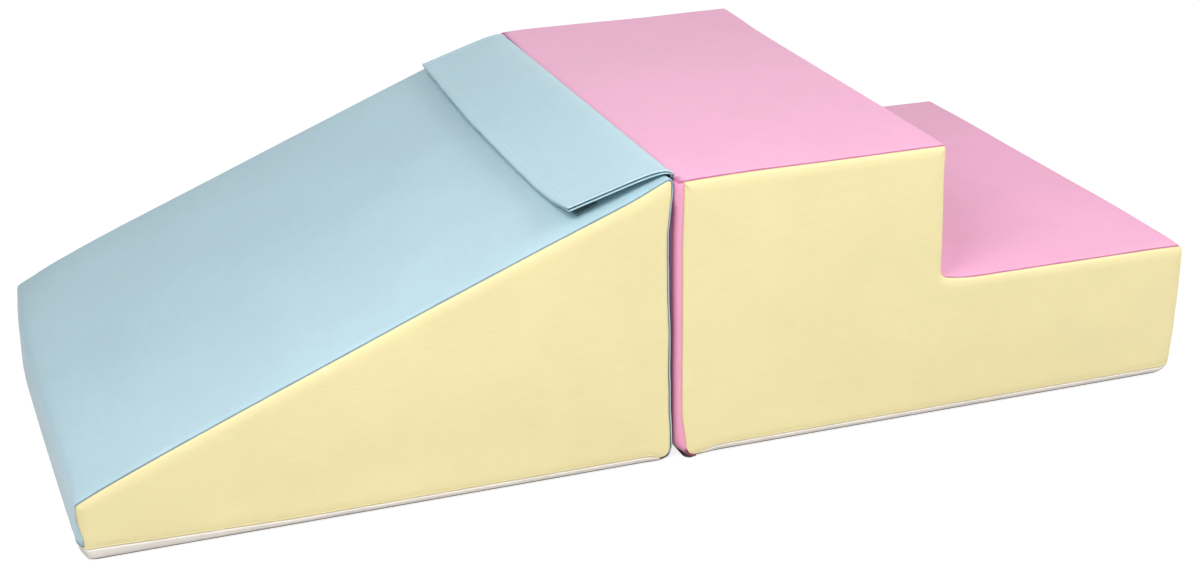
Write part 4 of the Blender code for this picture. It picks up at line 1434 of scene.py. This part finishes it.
# flap
flapShape = {
    "hingeX": 0.0025,
    "hingeZ": 0.30135,
    "nearY": -0.269,
    "farY": 0.259,
    "reach": 0.107,
    "ply": 0.0012,
    "gap": 0.0007,
    "farShort": 0.0058,
    "rise": 0.007,
    "riseRun": 0.013,
    "shoulderRun": 0.034,
    "shoulderDrop": 0.002,
    "tipDrop": 0.033435,
    "sag": 0.003,
    "nearLift": 0.011,
    "nearReach": 0.110,
    "farLift": 0.008,
    "farReach": 0.330,
    "hookMargin": 0.008,
    "stripWidth": 0.025,
    "stripInset": 0.029,
    "loopDown": 0.073,
    "rootX": 0.0030,
    "rootZ": 0.2968,
    "rootRise": 0.0038,
    "rootEase": 0.0022,
    "rootShare": 0.07,
    "rootStart": 0.07,
    "edgeWave": 0.0009,
    "hem": 0.0055,
    "hemRise": 0.00055,
    "parting": 0.0009,
    "partShare": (0.10, 0.45),
    "partNear": (0.016, 0.002),
    "edgeFrom": 0.108,  # distance from the root to the free edge, as the edge's seam and stitches count it
    "edgeRound": 0.0007,
    "hemFade": (0.0009, 0.0004),
    "stitchOut": 0.0004,  # the row of stitches lies this far outside the hem and dips the ply
    "stitchWide": 0.0005,
    "stitchDip": 0.00016,
    "pressed": 0.55,  # share of their thickness that the plies keep where the seam presses them
    "pressedTo": (0.02, 0.12),
    # painted shade where the plies turn down into the seam at their root, and on the two faces that meet
    # between the plies near their edges
    "rootDark": 0.9,
    "rootDarkTo": (-0.03, 0.02),
    "facingDark": 0.66,
    "facingFrom": (0.0030, 0.0006),
    "facingTo": 0.0004,
    "wear": 0.01,
    "edgeWaveLength": 0.062,
    "flutter": 0.0004,
    "flutterWave": 0.023,
    "farShortFrom": 0.02,
    "tape": 0.0006,  # thickness of the hook and loop strips
    "start": (0.0045, 0, 0.30135),  # a place on the step block and one on the flap, both at the hinge's height
    "end": (-0.014, 0, 0.30135),
    "flat": (0.528, 0.113),
}


def flapLine(share, y):
    # the flap's middle line beyond its root, for arrays of share and y
    s = flapShape
    near = np.clip(1 - (y - s["nearY"]) / s["nearReach"], 0, 1) ** 2
    far = np.clip(1 - (s["farY"] - y) / s["farReach"], 0, 1) ** 2
    lift = near * s["nearLift"] + far * s["farLift"]
    sag = s["sag"] * (1 - near)
    zero = np.zeros_like(y)
    reach = s["reach"] - s["farShort"] * smooth(s["farShortFrom"], s["farY"], y)
    px = [zero, zero - s["riseRun"], zero - s["shoulderRun"], -reach]
    pz = [zero, s["rise"] - sag, -s["shoulderDrop"] - sag, -s["tipDrop"] + lift]
    rest = 1 - share
    w = [rest ** 3, 3 * rest ** 2 * share, 3 * rest * share ** 2, share ** 3]
    x = sum(a * b for a, b in zip(px, w))
    z = sum(a * b for a, b in zip(pz, w))
    flutter = s["edgeWave"] * share ** 3 * noiseAt(alongWidth(y), s["edgeWaveLength"], 41)
    flutter = flutter + s["flutter"] * share * noiseAt(alongWidth(y), s["flutterWave"], 42)
    return np.stack([s["hingeX"] + x, y, s["hingeZ"] + z + flutter], -1)


def flapPlace(share, y):
    # the whole middle line, with its root turned down into the seam; shares below zero are the root
    s = flapShape
    join = np.full_like(y, s["rootShare"])
    beyond = flapLine(np.maximum(share, join), y)
    end = flapLine(join, y)
    way = unit(flapLine(join + 0.01, y) - end)
    start = np.stack([y * 0 + s["rootX"], y, y * 0 + s["rootZ"]], -1)
    lifted = start + np.array([0.0, 0.0, s["rootRise"]])
    back = end - way * s["rootEase"]
    t = np.clip((share + s["rootStart"]) / (s["rootShare"] + s["rootStart"]), 0, 1)[..., None]
    turned = (1 - t) ** 3 * start + 3 * (1 - t) ** 2 * t * lifted + 3 * (1 - t) * t ** 2 * back + t ** 3 * end
    return np.where((share < s["rootShare"])[..., None], turned, beyond)


def flapMiddle(share, y):
    # the middle line and the way up from it
    step = 0.002
    place = flapPlace(share, y)
    along = flapPlace(share + step, y) - flapPlace(share - step, y)
    length = np.maximum(np.hypot(along[..., 0], along[..., 2]), 1e-12)
    up = np.stack([along[..., 2] / length, y * 0, -along[..., 0] / length], -1)
    return place, up


def flapRows(nearY, farY, count):
    middle, width = (nearY + farY) / 2, (farY - nearY) / 2
    ends = [0.0, 0.0004, 0.0010, 0.0020, 0.0034, 0.0048, 0.0060, 0.0080]
    inner = np.linspace(-width + 0.012, width - 0.012, count)
    last = [middle + width - e for e in reversed(ends)]
    return np.array([middle - width + e for e in ends] + [middle + y for y in inner] + last)


def flapPly(name, low, high, finish, node, hemUp):
    # a ply: its two faces meet in a rounded, turned edge
    s = flapShape
    tip = [0.945, 0.955, 0.965, 0.975, 0.984, 0.991, 0.9965, 1.0]
    shares = np.concatenate([np.linspace(-s["rootStart"], 0.10, 18), np.linspace(0.13, 0.93, 36), tip])
    share, y = np.meshgrid(shares, flapRows(s["nearY"], s["farY"], 84))
    place, up = flapMiddle(share, y)
    toEdge = np.minimum((1 - share) * s["edgeFrom"], np.minimum(y - s["nearY"], s["farY"] - y))
    rounding = np.sqrt(np.clip(1 - (1 - np.clip(toEdge / s["edgeRound"], 0, 1)) ** 2, 0, 1))
    hem = smooth(s["hem"] + s["hemFade"][0], s["hem"] - s["hemFade"][1], toEdge) * s["hemRise"] * rounding
    parted = s["parting"] * smooth(*s["partShare"], share) * smooth(*s["partNear"], y - s["nearY"])
    stitched = np.exp(-((toEdge - s["hem"] - s["stitchOut"]) / s["stitchWide"]) ** 2) * s["stitchDip"]
    thin = s["pressed"] + (1 - s["pressed"]) * smooth(*s["pressedTo"], share)
    middle = (low + high) / 2 * thin
    thick = (high - low) / 2 * thin
    if not hemUp:
        middle = middle - parted
    topHeight = middle + thick * rounding + (hem - stitched if hemUp else 0)
    lowHeight = middle - thick * rounding - (0 if hemUp else hem - stitched)
    upper = place + up * topHeight[..., None]
    lower = place + up * lowHeight[..., None]
    # painted shade at the root and between the plies' facing sides
    root = (1 - smooth(*s["rootDarkTo"], share)).ravel() * s["rootDark"]
    facing = (smooth(*s["facingFrom"], toEdge) * smooth(0.0, s["facingTo"], toEdge)).ravel() * s["facingDark"]
    facing = np.maximum(root, facing)
    shades = [root, facing] if hemUp else [facing, root]
    wear = np.exp(-toEdge.ravel() / s["wear"])
    layers = {"seamShade": np.concatenate(shades), "edgeWear": np.concatenate([wear, wear])}
    return sandwich(name, upper, lower, finish, layers)


def sandwich(name, upper, lower, finish, layers=None):
    # a closed strip between two grids of points
    rows, columns = upper.shape[:2]
    count = rows * columns
    faces = gridFaces(rows, columns) + gridFaces(rows, columns, flip=True, first=count)
    border = ([i * columns for i in range(rows)], [i * columns + columns - 1 for i in range(rows)],
              list(range(columns)), [(rows - 1) * columns + j for j in range(columns)])
    for k, line in enumerate(border):
        for a, b in zip(line, line[1:]):
            quad = (a, b, b + count, a + count)
            faces.append(quad if k in (0, 3) else quad[::-1])
    piece = meshPiece(name, np.vstack([upper.reshape(-1, 3), lower.reshape(-1, 3)]), faces, finish, layers)
    fixNormals(piece)
    return piece


def fixNormals(piece):
    work = bmesh.new()
    work.from_mesh(piece.data)
    bmesh.ops.remove_doubles(work, verts=work.verts, dist=1e-6)
    bmesh.ops.recalc_face_normals(work, faces=work.faces)
    work.to_mesh(piece.data)
    work.free()
    piece.data.shade_smooth()


plyTop = flapShape["ply"] + flapShape["gap"] / 2
outerPly = flapPly("flapOuterPly", flapShape["gap"] / 2, plyTop, finishes["blue"], "flap_outer_ply", True)
innerPly = flapPly("flapInnerPly", -plyTop, -flapShape["gap"] / 2, finishes["blue"], "flap_inner_ply", False)


def arcTable():
    share = np.linspace(0, 1, 400)
    place, _ = flapMiddle(share, np.zeros_like(share))
    run = np.r_[0, np.cumsum(np.linalg.norm(np.diff(place, axis=0), axis=1))]
    return share, run


flapTable = arcTable()
flapRun = flapTable[1][-1]


def shareFromEdge(distance):
    return float(np.interp(flapRun - distance, flapTable[1], flapTable[0]))


def stripGrid(name, lowAt, highAt, shares, ys, finish):
    share, y = np.meshgrid(shares, ys)
    place, up = flapMiddle(share, y)
    return sandwich(name, place + up * highAt, place + up * lowAt, finish)


stripEnd = half - flapShape["stripInset"]
hookTop = -plyTop - flapShape["gap"]
hookLow = hookTop - flapShape["tape"]
hookShares = np.linspace(shareFromEdge(flapShape["hookMargin"] + flapShape["stripWidth"]),
                         shareFromEdge(flapShape["hookMargin"]), 9)
hookStrip = stripGrid("flapHookStrip", hookLow, hookTop, hookShares, np.linspace(-stripEnd, stripEnd, 70),
                      finishes["hook"])


def rampPoint(run, y, height):
    # a place run metres down the ramp from its top corner, and height off it
    rise, length = blocks["height"] - blocks["toeHeight"], -blocks["toeX"]
    slope = np.array([length, 0, rise]) / np.hypot(length, rise)
    up = np.array([-slope[2], 0, slope[0]])
    return np.array([0.0, y, blocks["height"]]) - slope * run + up * height


def loopStripPiece():
    runs = np.linspace(flapShape["loopDown"], flapShape["loopDown"] + flapShape["stripWidth"], 9)
    ys = np.linspace(-stripEnd, stripEnd, 70)
    gap = flapShape["gap"]
    upper = np.array([[rampPoint(r, y, gap + flapShape["tape"]) for r in runs] for y in ys])
    lower = np.array([[rampPoint(r, y, gap) for r in runs] for y in ys])
    shape = upper.shape
    upper, lower = (settle("slide", grid.reshape(-1, 3)).reshape(shape) for grid in (upper, lower))
    return sandwich("rampLoopStrip", upper, lower, finishes["loop"])


loopStrip = loopStripPiece()
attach(loopStrip, "slide_block")
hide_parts("slide_ramp_loop_strip")
for piece, node in ((outerPly, "flap_outer_ply"), (innerPly, "flap_inner_ply")):
    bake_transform(piece)
    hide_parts(node)
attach(hookStrip, "flap")
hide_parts("flap_hook_strip")
print("flap made")


# foam cores, inside the covers
foamCuts = {
    "spacing": 0.045,
    "nearEdges": (0.004, 0.014, 0.03),
    "drawnIn": 0.0004,
    "jointIn": 0.0022,  # cut back under the flap's root
    "jointX": (0.034, 0.006),
    "jointZ": (0.266, 0.292),
    "leastPiece": 0.001,
}


def foamCore(name, node, block):
    # the CAD core, cut finely enough to settle with its covers
    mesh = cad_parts[node].data.copy()
    work = bmesh.new()
    work.from_mesh(mesh)
    bmesh.ops.remove_doubles(work, verts=work.verts, dist=1e-6)
    bmesh.ops.dissolve_limit(work, angle_limit=radians(0.2), verts=work.verts, edges=work.edges)
    for axis in range(3):
        low = min(v.co[axis] for v in work.verts)
        high = max(v.co[axis] for v in work.verts)
        stops = [low + foamCuts["spacing"] * k for k in range(1, int((high - low) / foamCuts["spacing"]) + 1)]
        stops += [low + e for e in foamCuts["nearEdges"]] + [high - e for e in foamCuts["nearEdges"]]
        way = Vector([1.0 if k == axis else 0.0 for k in range(3)])
        for stop in sorted(stops):
            if low + foamCuts["leastPiece"] < stop < high - foamCuts["leastPiece"]:
                whole = [*work.verts, *work.edges, *work.faces]
                bmesh.ops.bisect_plane(work, geom=whole, plane_co=way * stop, plane_no=way)
    bmesh.ops.triangulate(work, faces=work.faces)
    bmesh.ops.recalc_face_normals(work, faces=work.faces)
    work.normal_update()
    drawn = np.array([v.co - v.normal * foamCuts["drawnIn"] for v in work.verts])
    if block == "step":
        atJoint = smooth(*foamCuts["jointX"], drawn[:, 0]) * smooth(*foamCuts["jointZ"], drawn[:, 2])
        drawn += np.array([foamCuts["jointIn"], 0, -foamCuts["jointIn"] * 2]) * atJoint[:, None]
    for v, place in zip(work.verts, settle(block, drawn)):
        v.co = place
    work.to_mesh(mesh)
    work.free()
    mesh.materials.clear()
    mesh.materials.append(finishes["foam"])
    piece = bpy.data.objects.new(name, mesh)
    bpy.context.scene.collection.objects.link(piece)
    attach(piece, block + "_block")
    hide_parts(node)


foamCore("slideFoam", "slide_foam_core", "slide")
foamCore("stepLowerFoam", "step_foam_lower_slab", "step")
foamCore("stepUpperFoam", "step_foam_upper_block", "step")


# zips, in the base cloth's slot
zipPlace = {
    "low": 0.0015,  # under face of a tape
    "across": [0, 0.0012, 0.0022, 0.0045, 0.0075, 0.0105, 0.0125, 0.0130],
    "points": 150,
    "loose": (0.003, 0.009),
    "ripple": 0.00012,
    "wave": 0.022,
}


def zipTape(block, part, side, lowX, highX):
    name = block + "ZipTape" + part.capitalize()
    start = zipSizes["coilGap"] / 2
    across = start + np.array(zipPlace["across"])
    run = np.linspace(lowX, highX, zipPlace["points"])
    x, out = np.meshgrid(run, across, indexing="ij")
    grid = np.stack([x, zipY + side * out, np.full_like(x, zipPlace["low"])], -1)
    loose = smooth(*zipPlace["loose"], out) * zipPlace["ripple"]
    grid[..., 2] += loose * (1 + noiseAt(grid, zipPlace["wave"], 51 + side))
    upper = grid + np.array([0, 0, zipSizes["tape"]])
    piece = sandwich(name, upper, grid, finishes["tape"])
    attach(piece, block + "_block")
    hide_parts(block + "_zip_tape_" + part)
    highX - lowX
    block + "Base"


zipReach = zipSizes["endMargin"] - zipSizes["overrun"]
zipRuns = {
    "slide": (blocks["toeX"] + zipReach, blocks["slideBackX"] - zipReach),
    "step": (blocks["jointX"] + zipReach, blocks["endX"] - zipReach),
}
for block in zipRuns:
    zipTape(block, "main", -1, *zipRuns[block])
    zipTape(block, "strip", 1, *zipRuns[block])
    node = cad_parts[block + "_zip_slider"]
    node.data.materials.clear()
    node.data.materials.append(finishes["slider"])


# small parts that repeat along lines, made with Geometry Nodes
class Repeat:
    # a tree that sets one small shape along the lines of a mesh, at a given spacing
    def __init__(self, name, shape):
        self.tree = bpy.data.node_groups.new(name, "GeometryNodeTree")
        sizes = dict.fromkeys(("Spacing", "Length", "Width", "Height", "Thread", "Uneven"), "Float")
        kinds = {"Lines": "Geometry", **sizes, "Seed": "Int", "Finish": "Material"}
        self.names = {}
        for label, kind in kinds.items():
            made = self.tree.interface.new_socket(name=label, in_out="INPUT", socket_type="NodeSocket" + kind)
            self.names[label] = made.identifier
        self.tree.interface.new_socket(name="Made", in_out="OUTPUT", socket_type="NodeSocketGeometry")
        given = self.add("NodeGroupInput").outputs
        lines = self.add("GeometryNodeMeshToCurve", {}, {"Mesh": given["Lines"]}).outputs[0]
        spaced = self.add("GeometryNodeResampleCurve", {"mode": "LENGTH"},
                          {"Curve": lines, "Length": given["Spacing"]})
        out = self.add("GeometryNodeInputNamedAttribute", {"data_type": "FLOAT_VECTOR"}, {"Name": "out"})
        along = self.add("GeometryNodeInputTangent")
        turn = self.add("FunctionNodeAxesToRotation", {"primary_axis": "Z", "secondary_axis": "X"},
                        {"Primary Axis": out.outputs["Attribute"], "Secondary Axis": along.outputs[0]})
        least = self.add("ShaderNodeMath", {"operation": "SUBTRACT"}, {0: 1.0, 1: given["Uneven"]})
        most = self.add("ShaderNodeMath", {"operation": "ADD"}, {0: 1.0, 1: given["Uneven"]})
        size = self.add("FunctionNodeRandomValue", {"data_type": "FLOAT"},
                        {2: least.outputs[0], 3: most.outputs[0], "Seed": given["Seed"]})
        one = self.stitch(given) if shape["sweep"] == 0 else self.bent(given, shape)
        placed = self.add("GeometryNodeInstanceOnPoints", {}, {
            "Points": spaced.outputs[0], "Instance": one,
            "Rotation": turn.outputs[0], "Scale": size.outputs[1]})
        real = self.add("GeometryNodeRealizeInstances", {}, {0: placed.outputs[0]})
        soft = self.add("GeometryNodeSetShadeSmooth", {}, {0: real.outputs[0]})
        last = self.add("GeometryNodeSetMaterial", {}, {0: soft.outputs[0], "Material": given["Finish"]})
        self.add("NodeGroupOutput", {}, {0: last.outputs[0]})

    def add(self, kind, settings=None, sockets=None):
        return addNode(self.tree, kind, settings, sockets)

    def three(self, x, y, z):
        return self.add("ShaderNodeCombineXYZ", {}, {0: x, 1: y, 2: z}).outputs[0]

    def stitch(self, given):
        bead = self.add("GeometryNodeMeshUVSphere", {}, {"Segments": 6, "Rings": 4, "Radius": 0.5})
        size = self.three(given["Length"], given["Width"], given["Height"])
        return self.add("GeometryNodeTransform", {}, {"Geometry": bead.outputs[0], "Scale": size}).outputs[0]

    def bent(self, given, shape):
        # a bent thread: a hook, a loop or one turn of a zip's coil
        arc = self.add("GeometryNodeCurveArc", {"mode": "RADIUS"}, {
            "Resolution": shape["points"], "Radius": 0.5,
            "Start Angle": radians(shape["start"]), "Sweep Angle": radians(shape["sweep"])})
        size = self.three(given["Width"], given["Height"], 1.0)
        wide = self.add("GeometryNodeTransform", {}, {"Geometry": arc.outputs[0], "Scale": size})
        stood = self.add("GeometryNodeTransform", {}, {
            "Geometry": wide.outputs[0], "Rotation": [radians(a) for a in shape["turn"]]})
        radius = self.add("ShaderNodeMath", {"operation": "MULTIPLY"}, {0: given["Thread"], 1: 0.5})
        section = self.add("GeometryNodeCurvePrimitiveCircle", {"mode": "RADIUS"},
                           {"Resolution": shape["sides"], "Radius": radius.outputs[0]})
        return self.add("GeometryNodeCurveToMesh", {}, {
            "Curve": stood.outputs[0], "Profile Curve": section.outputs[0], "Fill Caps": True}).outputs[0]


repeats = {
    "stitch": Repeat("stitches", {"sweep": 0}),
    "hook": Repeat("hooks", {"points": 6, "sides": 3, "start": -20, "sweep": 230, "turn": (90, 0, 0)}),
    "loop": Repeat("loops", {"points": 7, "sides": 3, "start": -50, "sweep": 280, "turn": (90, 0, 35)}),
    "coil": Repeat("coils", {"points": 8, "sides": 4, "start": -150, "sweep": 300, "turn": (90, 0, 82)}),
}


# spacing, size and unevenness of each kind of small part
threads = {
    "Spacing": 0.0036,
    "Length": 0.0028,
    "Width": 0.00062,
    "Height": 0.00050,
    "Thread": 0.0,
    "Uneven": 0.05,
    "Seed": 3,
}
smallParts = {
    "flapThread": threads,
    "hook": {**threads, "Spacing": 0.0023, "Length": 0.0, "Width": 0.0007, "Height": 0.0010,
             "Thread": 0.00022, "Uneven": 0.2, "Seed": 5},
    "loop": {**threads, "Spacing": 0.0021, "Length": 0.0, "Width": 0.0010, "Height": 0.0010,
             "Thread": 0.00018, "Uneven": 0.3, "Seed": 7},
    "sewing": {**threads, "Spacing": 0.0030, "Length": 0.0023, "Width": 0.0005, "Height": 0.0004, "Seed": 9},
    "coil": {**threads, "Spacing": 0.0020, "Length": 0.0, "Width": 0.0019, "Height": 0.0015,
             "Thread": 0.00062, "Uneven": 0.0, "Seed": 11},
}


def setAlong(name, kind, lines, outs, sizes, finish, body, slotName):
    # small parts along lines of points, each with its way out, made into one plain mesh
    edges, first = [], 0
    for line in lines:
        edges += [(first + i, first + i + 1) for i in range(len(line) - 1)]
        first += len(line)
    mesh = bpy.data.meshes.new(name)
    mesh.from_pydata([tuple(p) for p in np.vstack(lines)], edges, [])
    mesh.attributes.new("out", "FLOAT_VECTOR", "POINT").data.foreach_set(
        "vector", np.vstack(outs).astype(np.float32).ravel())
    piece = bpy.data.objects.new(name, mesh)
    bpy.context.scene.collection.objects.link(piece)
    grown = piece.modifiers.new(name, "NODES")
    grown.node_group = repeats[kind].tree
    for label, value in {**smallParts[sizes], "Finish": finishes[finish]}.items():
        grown[repeats[kind].names[label]] = value
    made = bpy.data.meshes.new_from_object(piece.evaluated_get(bpy.context.evaluated_depsgraph_get()))
    piece.modifiers.remove(grown)
    piece.data = made
    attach(piece, body)


smallPlaces = {
    "flapStart": 0.30,  # share of the flap at which its row of stitches begins, clear of the fold
    "flapHeight": 0.00002,
    "endIn": 0.003,
    "along": 160,  # points along a strip
    "firstRow": 0.0036,
    "rows": 9,
    "sewnEdge": 0.0016,
}


def flapEdgeLine(inset, height):
    # a line round the flap's three free edges, at a distance in from them, with the way up
    start, tip = smallPlaces["flapStart"], 1 - inset / flapShape["edgeFrom"]
    nearY, farY = flapShape["nearY"] + inset, flapShape["farY"] - inset
    shares = np.concatenate([np.linspace(start, tip, 40), np.full(150, tip), np.linspace(tip, start, 40)])
    ys = np.concatenate([np.full(40, nearY), np.linspace(nearY, farY, 150), np.full(40, farY)])
    place, up = flapMiddle(shares, ys)
    return [place + up * height], [up]


lines, outs = flapEdgeLine(flapShape["hem"] + flapShape["stitchOut"], plyTop + smallPlaces["flapHeight"])
setAlong("flapTopStitches", "stitch", lines, outs, "flapThread", "blueThread", "flap", "blue_cover")

# hook and loop strips: their bristles and their two sewn edges
stripYs = np.linspace(-stripEnd + smallPlaces["endIn"], stripEnd - smallPlaces["endIn"], smallPlaces["along"])


def hookLines(fromEdges, height):
    lines, outs = [], []
    for fromEdge in fromEdges:
        share = shareFromEdge(flapShape["hookMargin"] + fromEdge)
        place, up = flapMiddle(np.full(len(stripYs), share), stripYs)
        lines.append(place + up * height)
        outs.append(-up)
    return lines, outs


def loopLines(fromEdges):
    lines, outs = [], []
    for fromEdge in fromEdges:
        run = flapShape["loopDown"] + fromEdge
        onTape = flapShape["gap"] + flapShape["tape"]
        low = settle("slide", np.array([rampPoint(run, y, onTape) for y in stripYs]))
        high = settle("slide", np.array([rampPoint(run, y, onTape + 0.001) for y in stripYs]))
        lines.append(low)
        outs.append(unit(high - low))
    return lines, outs


firstRow, edge, width = smallPlaces["firstRow"], smallPlaces["sewnEdge"], flapShape["stripWidth"]
rowsAcross = np.linspace(firstRow, width - firstRow, smallPlaces["rows"])
edgesAcross = (edge, width - edge)
onHook, onHookEdges = hookLines(rowsAcross, hookLow), hookLines(edgesAcross, hookLow)
setAlong("hookBristles", "hook", *onHook, "hook", "hook", "flap", "hook_and_loop")
setAlong("hookStitches", "stitch", *onHookEdges, "sewing", "blueThread", "flap", "hook_and_loop")
onLoop, onLoopEdges = loopLines(rowsAcross), loopLines(edgesAcross)
setAlong("loopBristles", "loop", *onLoop, "loop", "loop", "slide_block", "hook_and_loop")
setAlong("loopStitches", "stitch", *onLoopEdges, "sewing", "blueThread", "slide_block", "hook_and_loop")

# the zips' coils and the stitches beside their slots
for block, (lowX, highX) in zipRuns.items():
    coils, seams = [], []
    coilIn, seamIn = zipSizes["coilIn"], zipSizes["sewnIn"]
    for side in (-1, 1):
        coilY = zipY + side * (zipSizes["coilGap"] / 2 + zipSizes["coilWidth"] / 2)
        sewnY = zipY + side * (slotHalf + zipSizes["sewnOut"])
        coils.append(np.array([(x, coilY, zipSizes["coilMiddle"]) for x in (lowX + coilIn, highX - coilIn)]))
        seams.append(np.array([(x, sewnY, zipSizes["sewnHeight"]) for x in (lowX + seamIn, highX - seamIn)]))
    up = [np.tile([0.0, 0.0, 1.0], (2, 1))] * 2
    down = [-u for u in up]
    setAlong(block + "ZipCoils", "coil", coils, up, "coil", "tape", block + "_block", "zip_tape")
    setAlong(block + "ZipStitches", "stitch", seams, down, "sewing", "tape", block + "_block", "zip_tape")
print("zips and small parts made")


# floor, background and light
stageSizes = {
    "floorHalf": 30,
    "floorLow": -0.0005,
    "floorColour": (0.60, 0.60, 0.60, 1),
    "floorDim": (0.30, 0.30, 0.30, 1),
    "floorGlow": 0.86,
    "worldLight": 0.40,
    "white": (1, 1, 1, 1),
    "aim": (0, 0, 0.12),
}


def makeStage():
    # the floor is white to the camera, and grey to the light that it throws back
    f = Finish("paleFloor")
    plug(f.tree, f.shader.inputs["Base Color"], stageSizes["floorColour"])
    plug(f.tree, f.shader.inputs["Roughness"], 0.9)
    path = f.add("ShaderNodeLightPath").outputs
    glow = f.add("ShaderNodeEmission", {},
                 {"Color": stageSizes["white"], "Strength": stageSizes["floorGlow"]})
    dim = f.add("ShaderNodeBsdfDiffuse", {}, {"Color": stageSizes["floorDim"]})
    lit = f.add("ShaderNodeAddShader", {}, {0: glow.outputs[0], 1: dim.outputs[0]})
    seen = Value(f, path["Is Camera Ray"]).sum("MAXIMUM", Value(f, path["Is Glossy Ray"]))
    seen = seen.sum("MAXIMUM", Value(f, path["Is Transmission Ray"]))
    pick = f.add("ShaderNodeMixShader", {}, {0: seen, 1: f.shader.outputs[0], 2: lit.outputs[0]})
    plug(f.tree, f.tree.nodes["Material Output"].inputs[0], pick.outputs[0])
    side, low = stageSizes["floorHalf"], stageSizes["floorLow"]
    corners = [(-side, -side, low), (side, -side, low), (side, side, low), (-side, side, low)]
    meshPiece("floor", corners, [(0, 1, 2, 3)], f.material)


def makeWorld():
    world = bpy.data.worlds.new("studio")
    bpy.context.scene.world = world
    world.use_nodes = True
    tree = world.node_tree
    light = tree.nodes["Background"]
    plug(tree, light.inputs[0], stageSizes["white"])
    plug(tree, light.inputs[1], stageSizes["worldLight"])
    seenWhite = addNode(tree, "ShaderNodeBackground", {}, {0: stageSizes["white"], 1: 1.0})
    path = addNode(tree, "ShaderNodeLightPath").outputs
    seen = addNode(tree, "ShaderNodeMath", {"operation": "MAXIMUM"},
                   {0: path["Is Camera Ray"], 1: path["Is Transmission Ray"]})
    pick = addNode(tree, "ShaderNodeMixShader", {},
                   {0: seen.outputs[0], 1: light.outputs[0], 2: seenWhite.outputs[0]})
    plug(tree, tree.nodes["World Output"].inputs[0], pick.outputs[0])


lampSizes = {
    "left": {"place": (-0.78, -0.97, 1.19), "size": 0.7, "power": 14.6},
    "right": {"place": (1.10, -0.95, 1.30), "size": 0.7, "power": 15.4},
    "front": {"place": (0.0, -2.6, 0.8), "size": 1.2, "power": 3.5},
    "back": {"place": (0.9, 2.4, 0.50), "size": 1.5, "power": 5.0},
}


def makeLamps():
    for name, sizes in lampSizes.items():
        data = bpy.data.lights.new(name, "AREA")
        data.size = sizes["size"]
        data.energy = sizes["power"]
        lamp = bpy.data.objects.new(name, data)
        lamp.location = sizes["place"]
        way = Vector(stageSizes["aim"]) - Vector(sizes["place"])
        lamp.rotation_euler = way.to_track_quat("-Z", "Y").to_euler()
        bpy.context.scene.collection.objects.link(lamp)


makeStage()
makeWorld()
makeLamps()
bpy.context.scene.view_settings.view_transform = "Standard"
print("stage set")
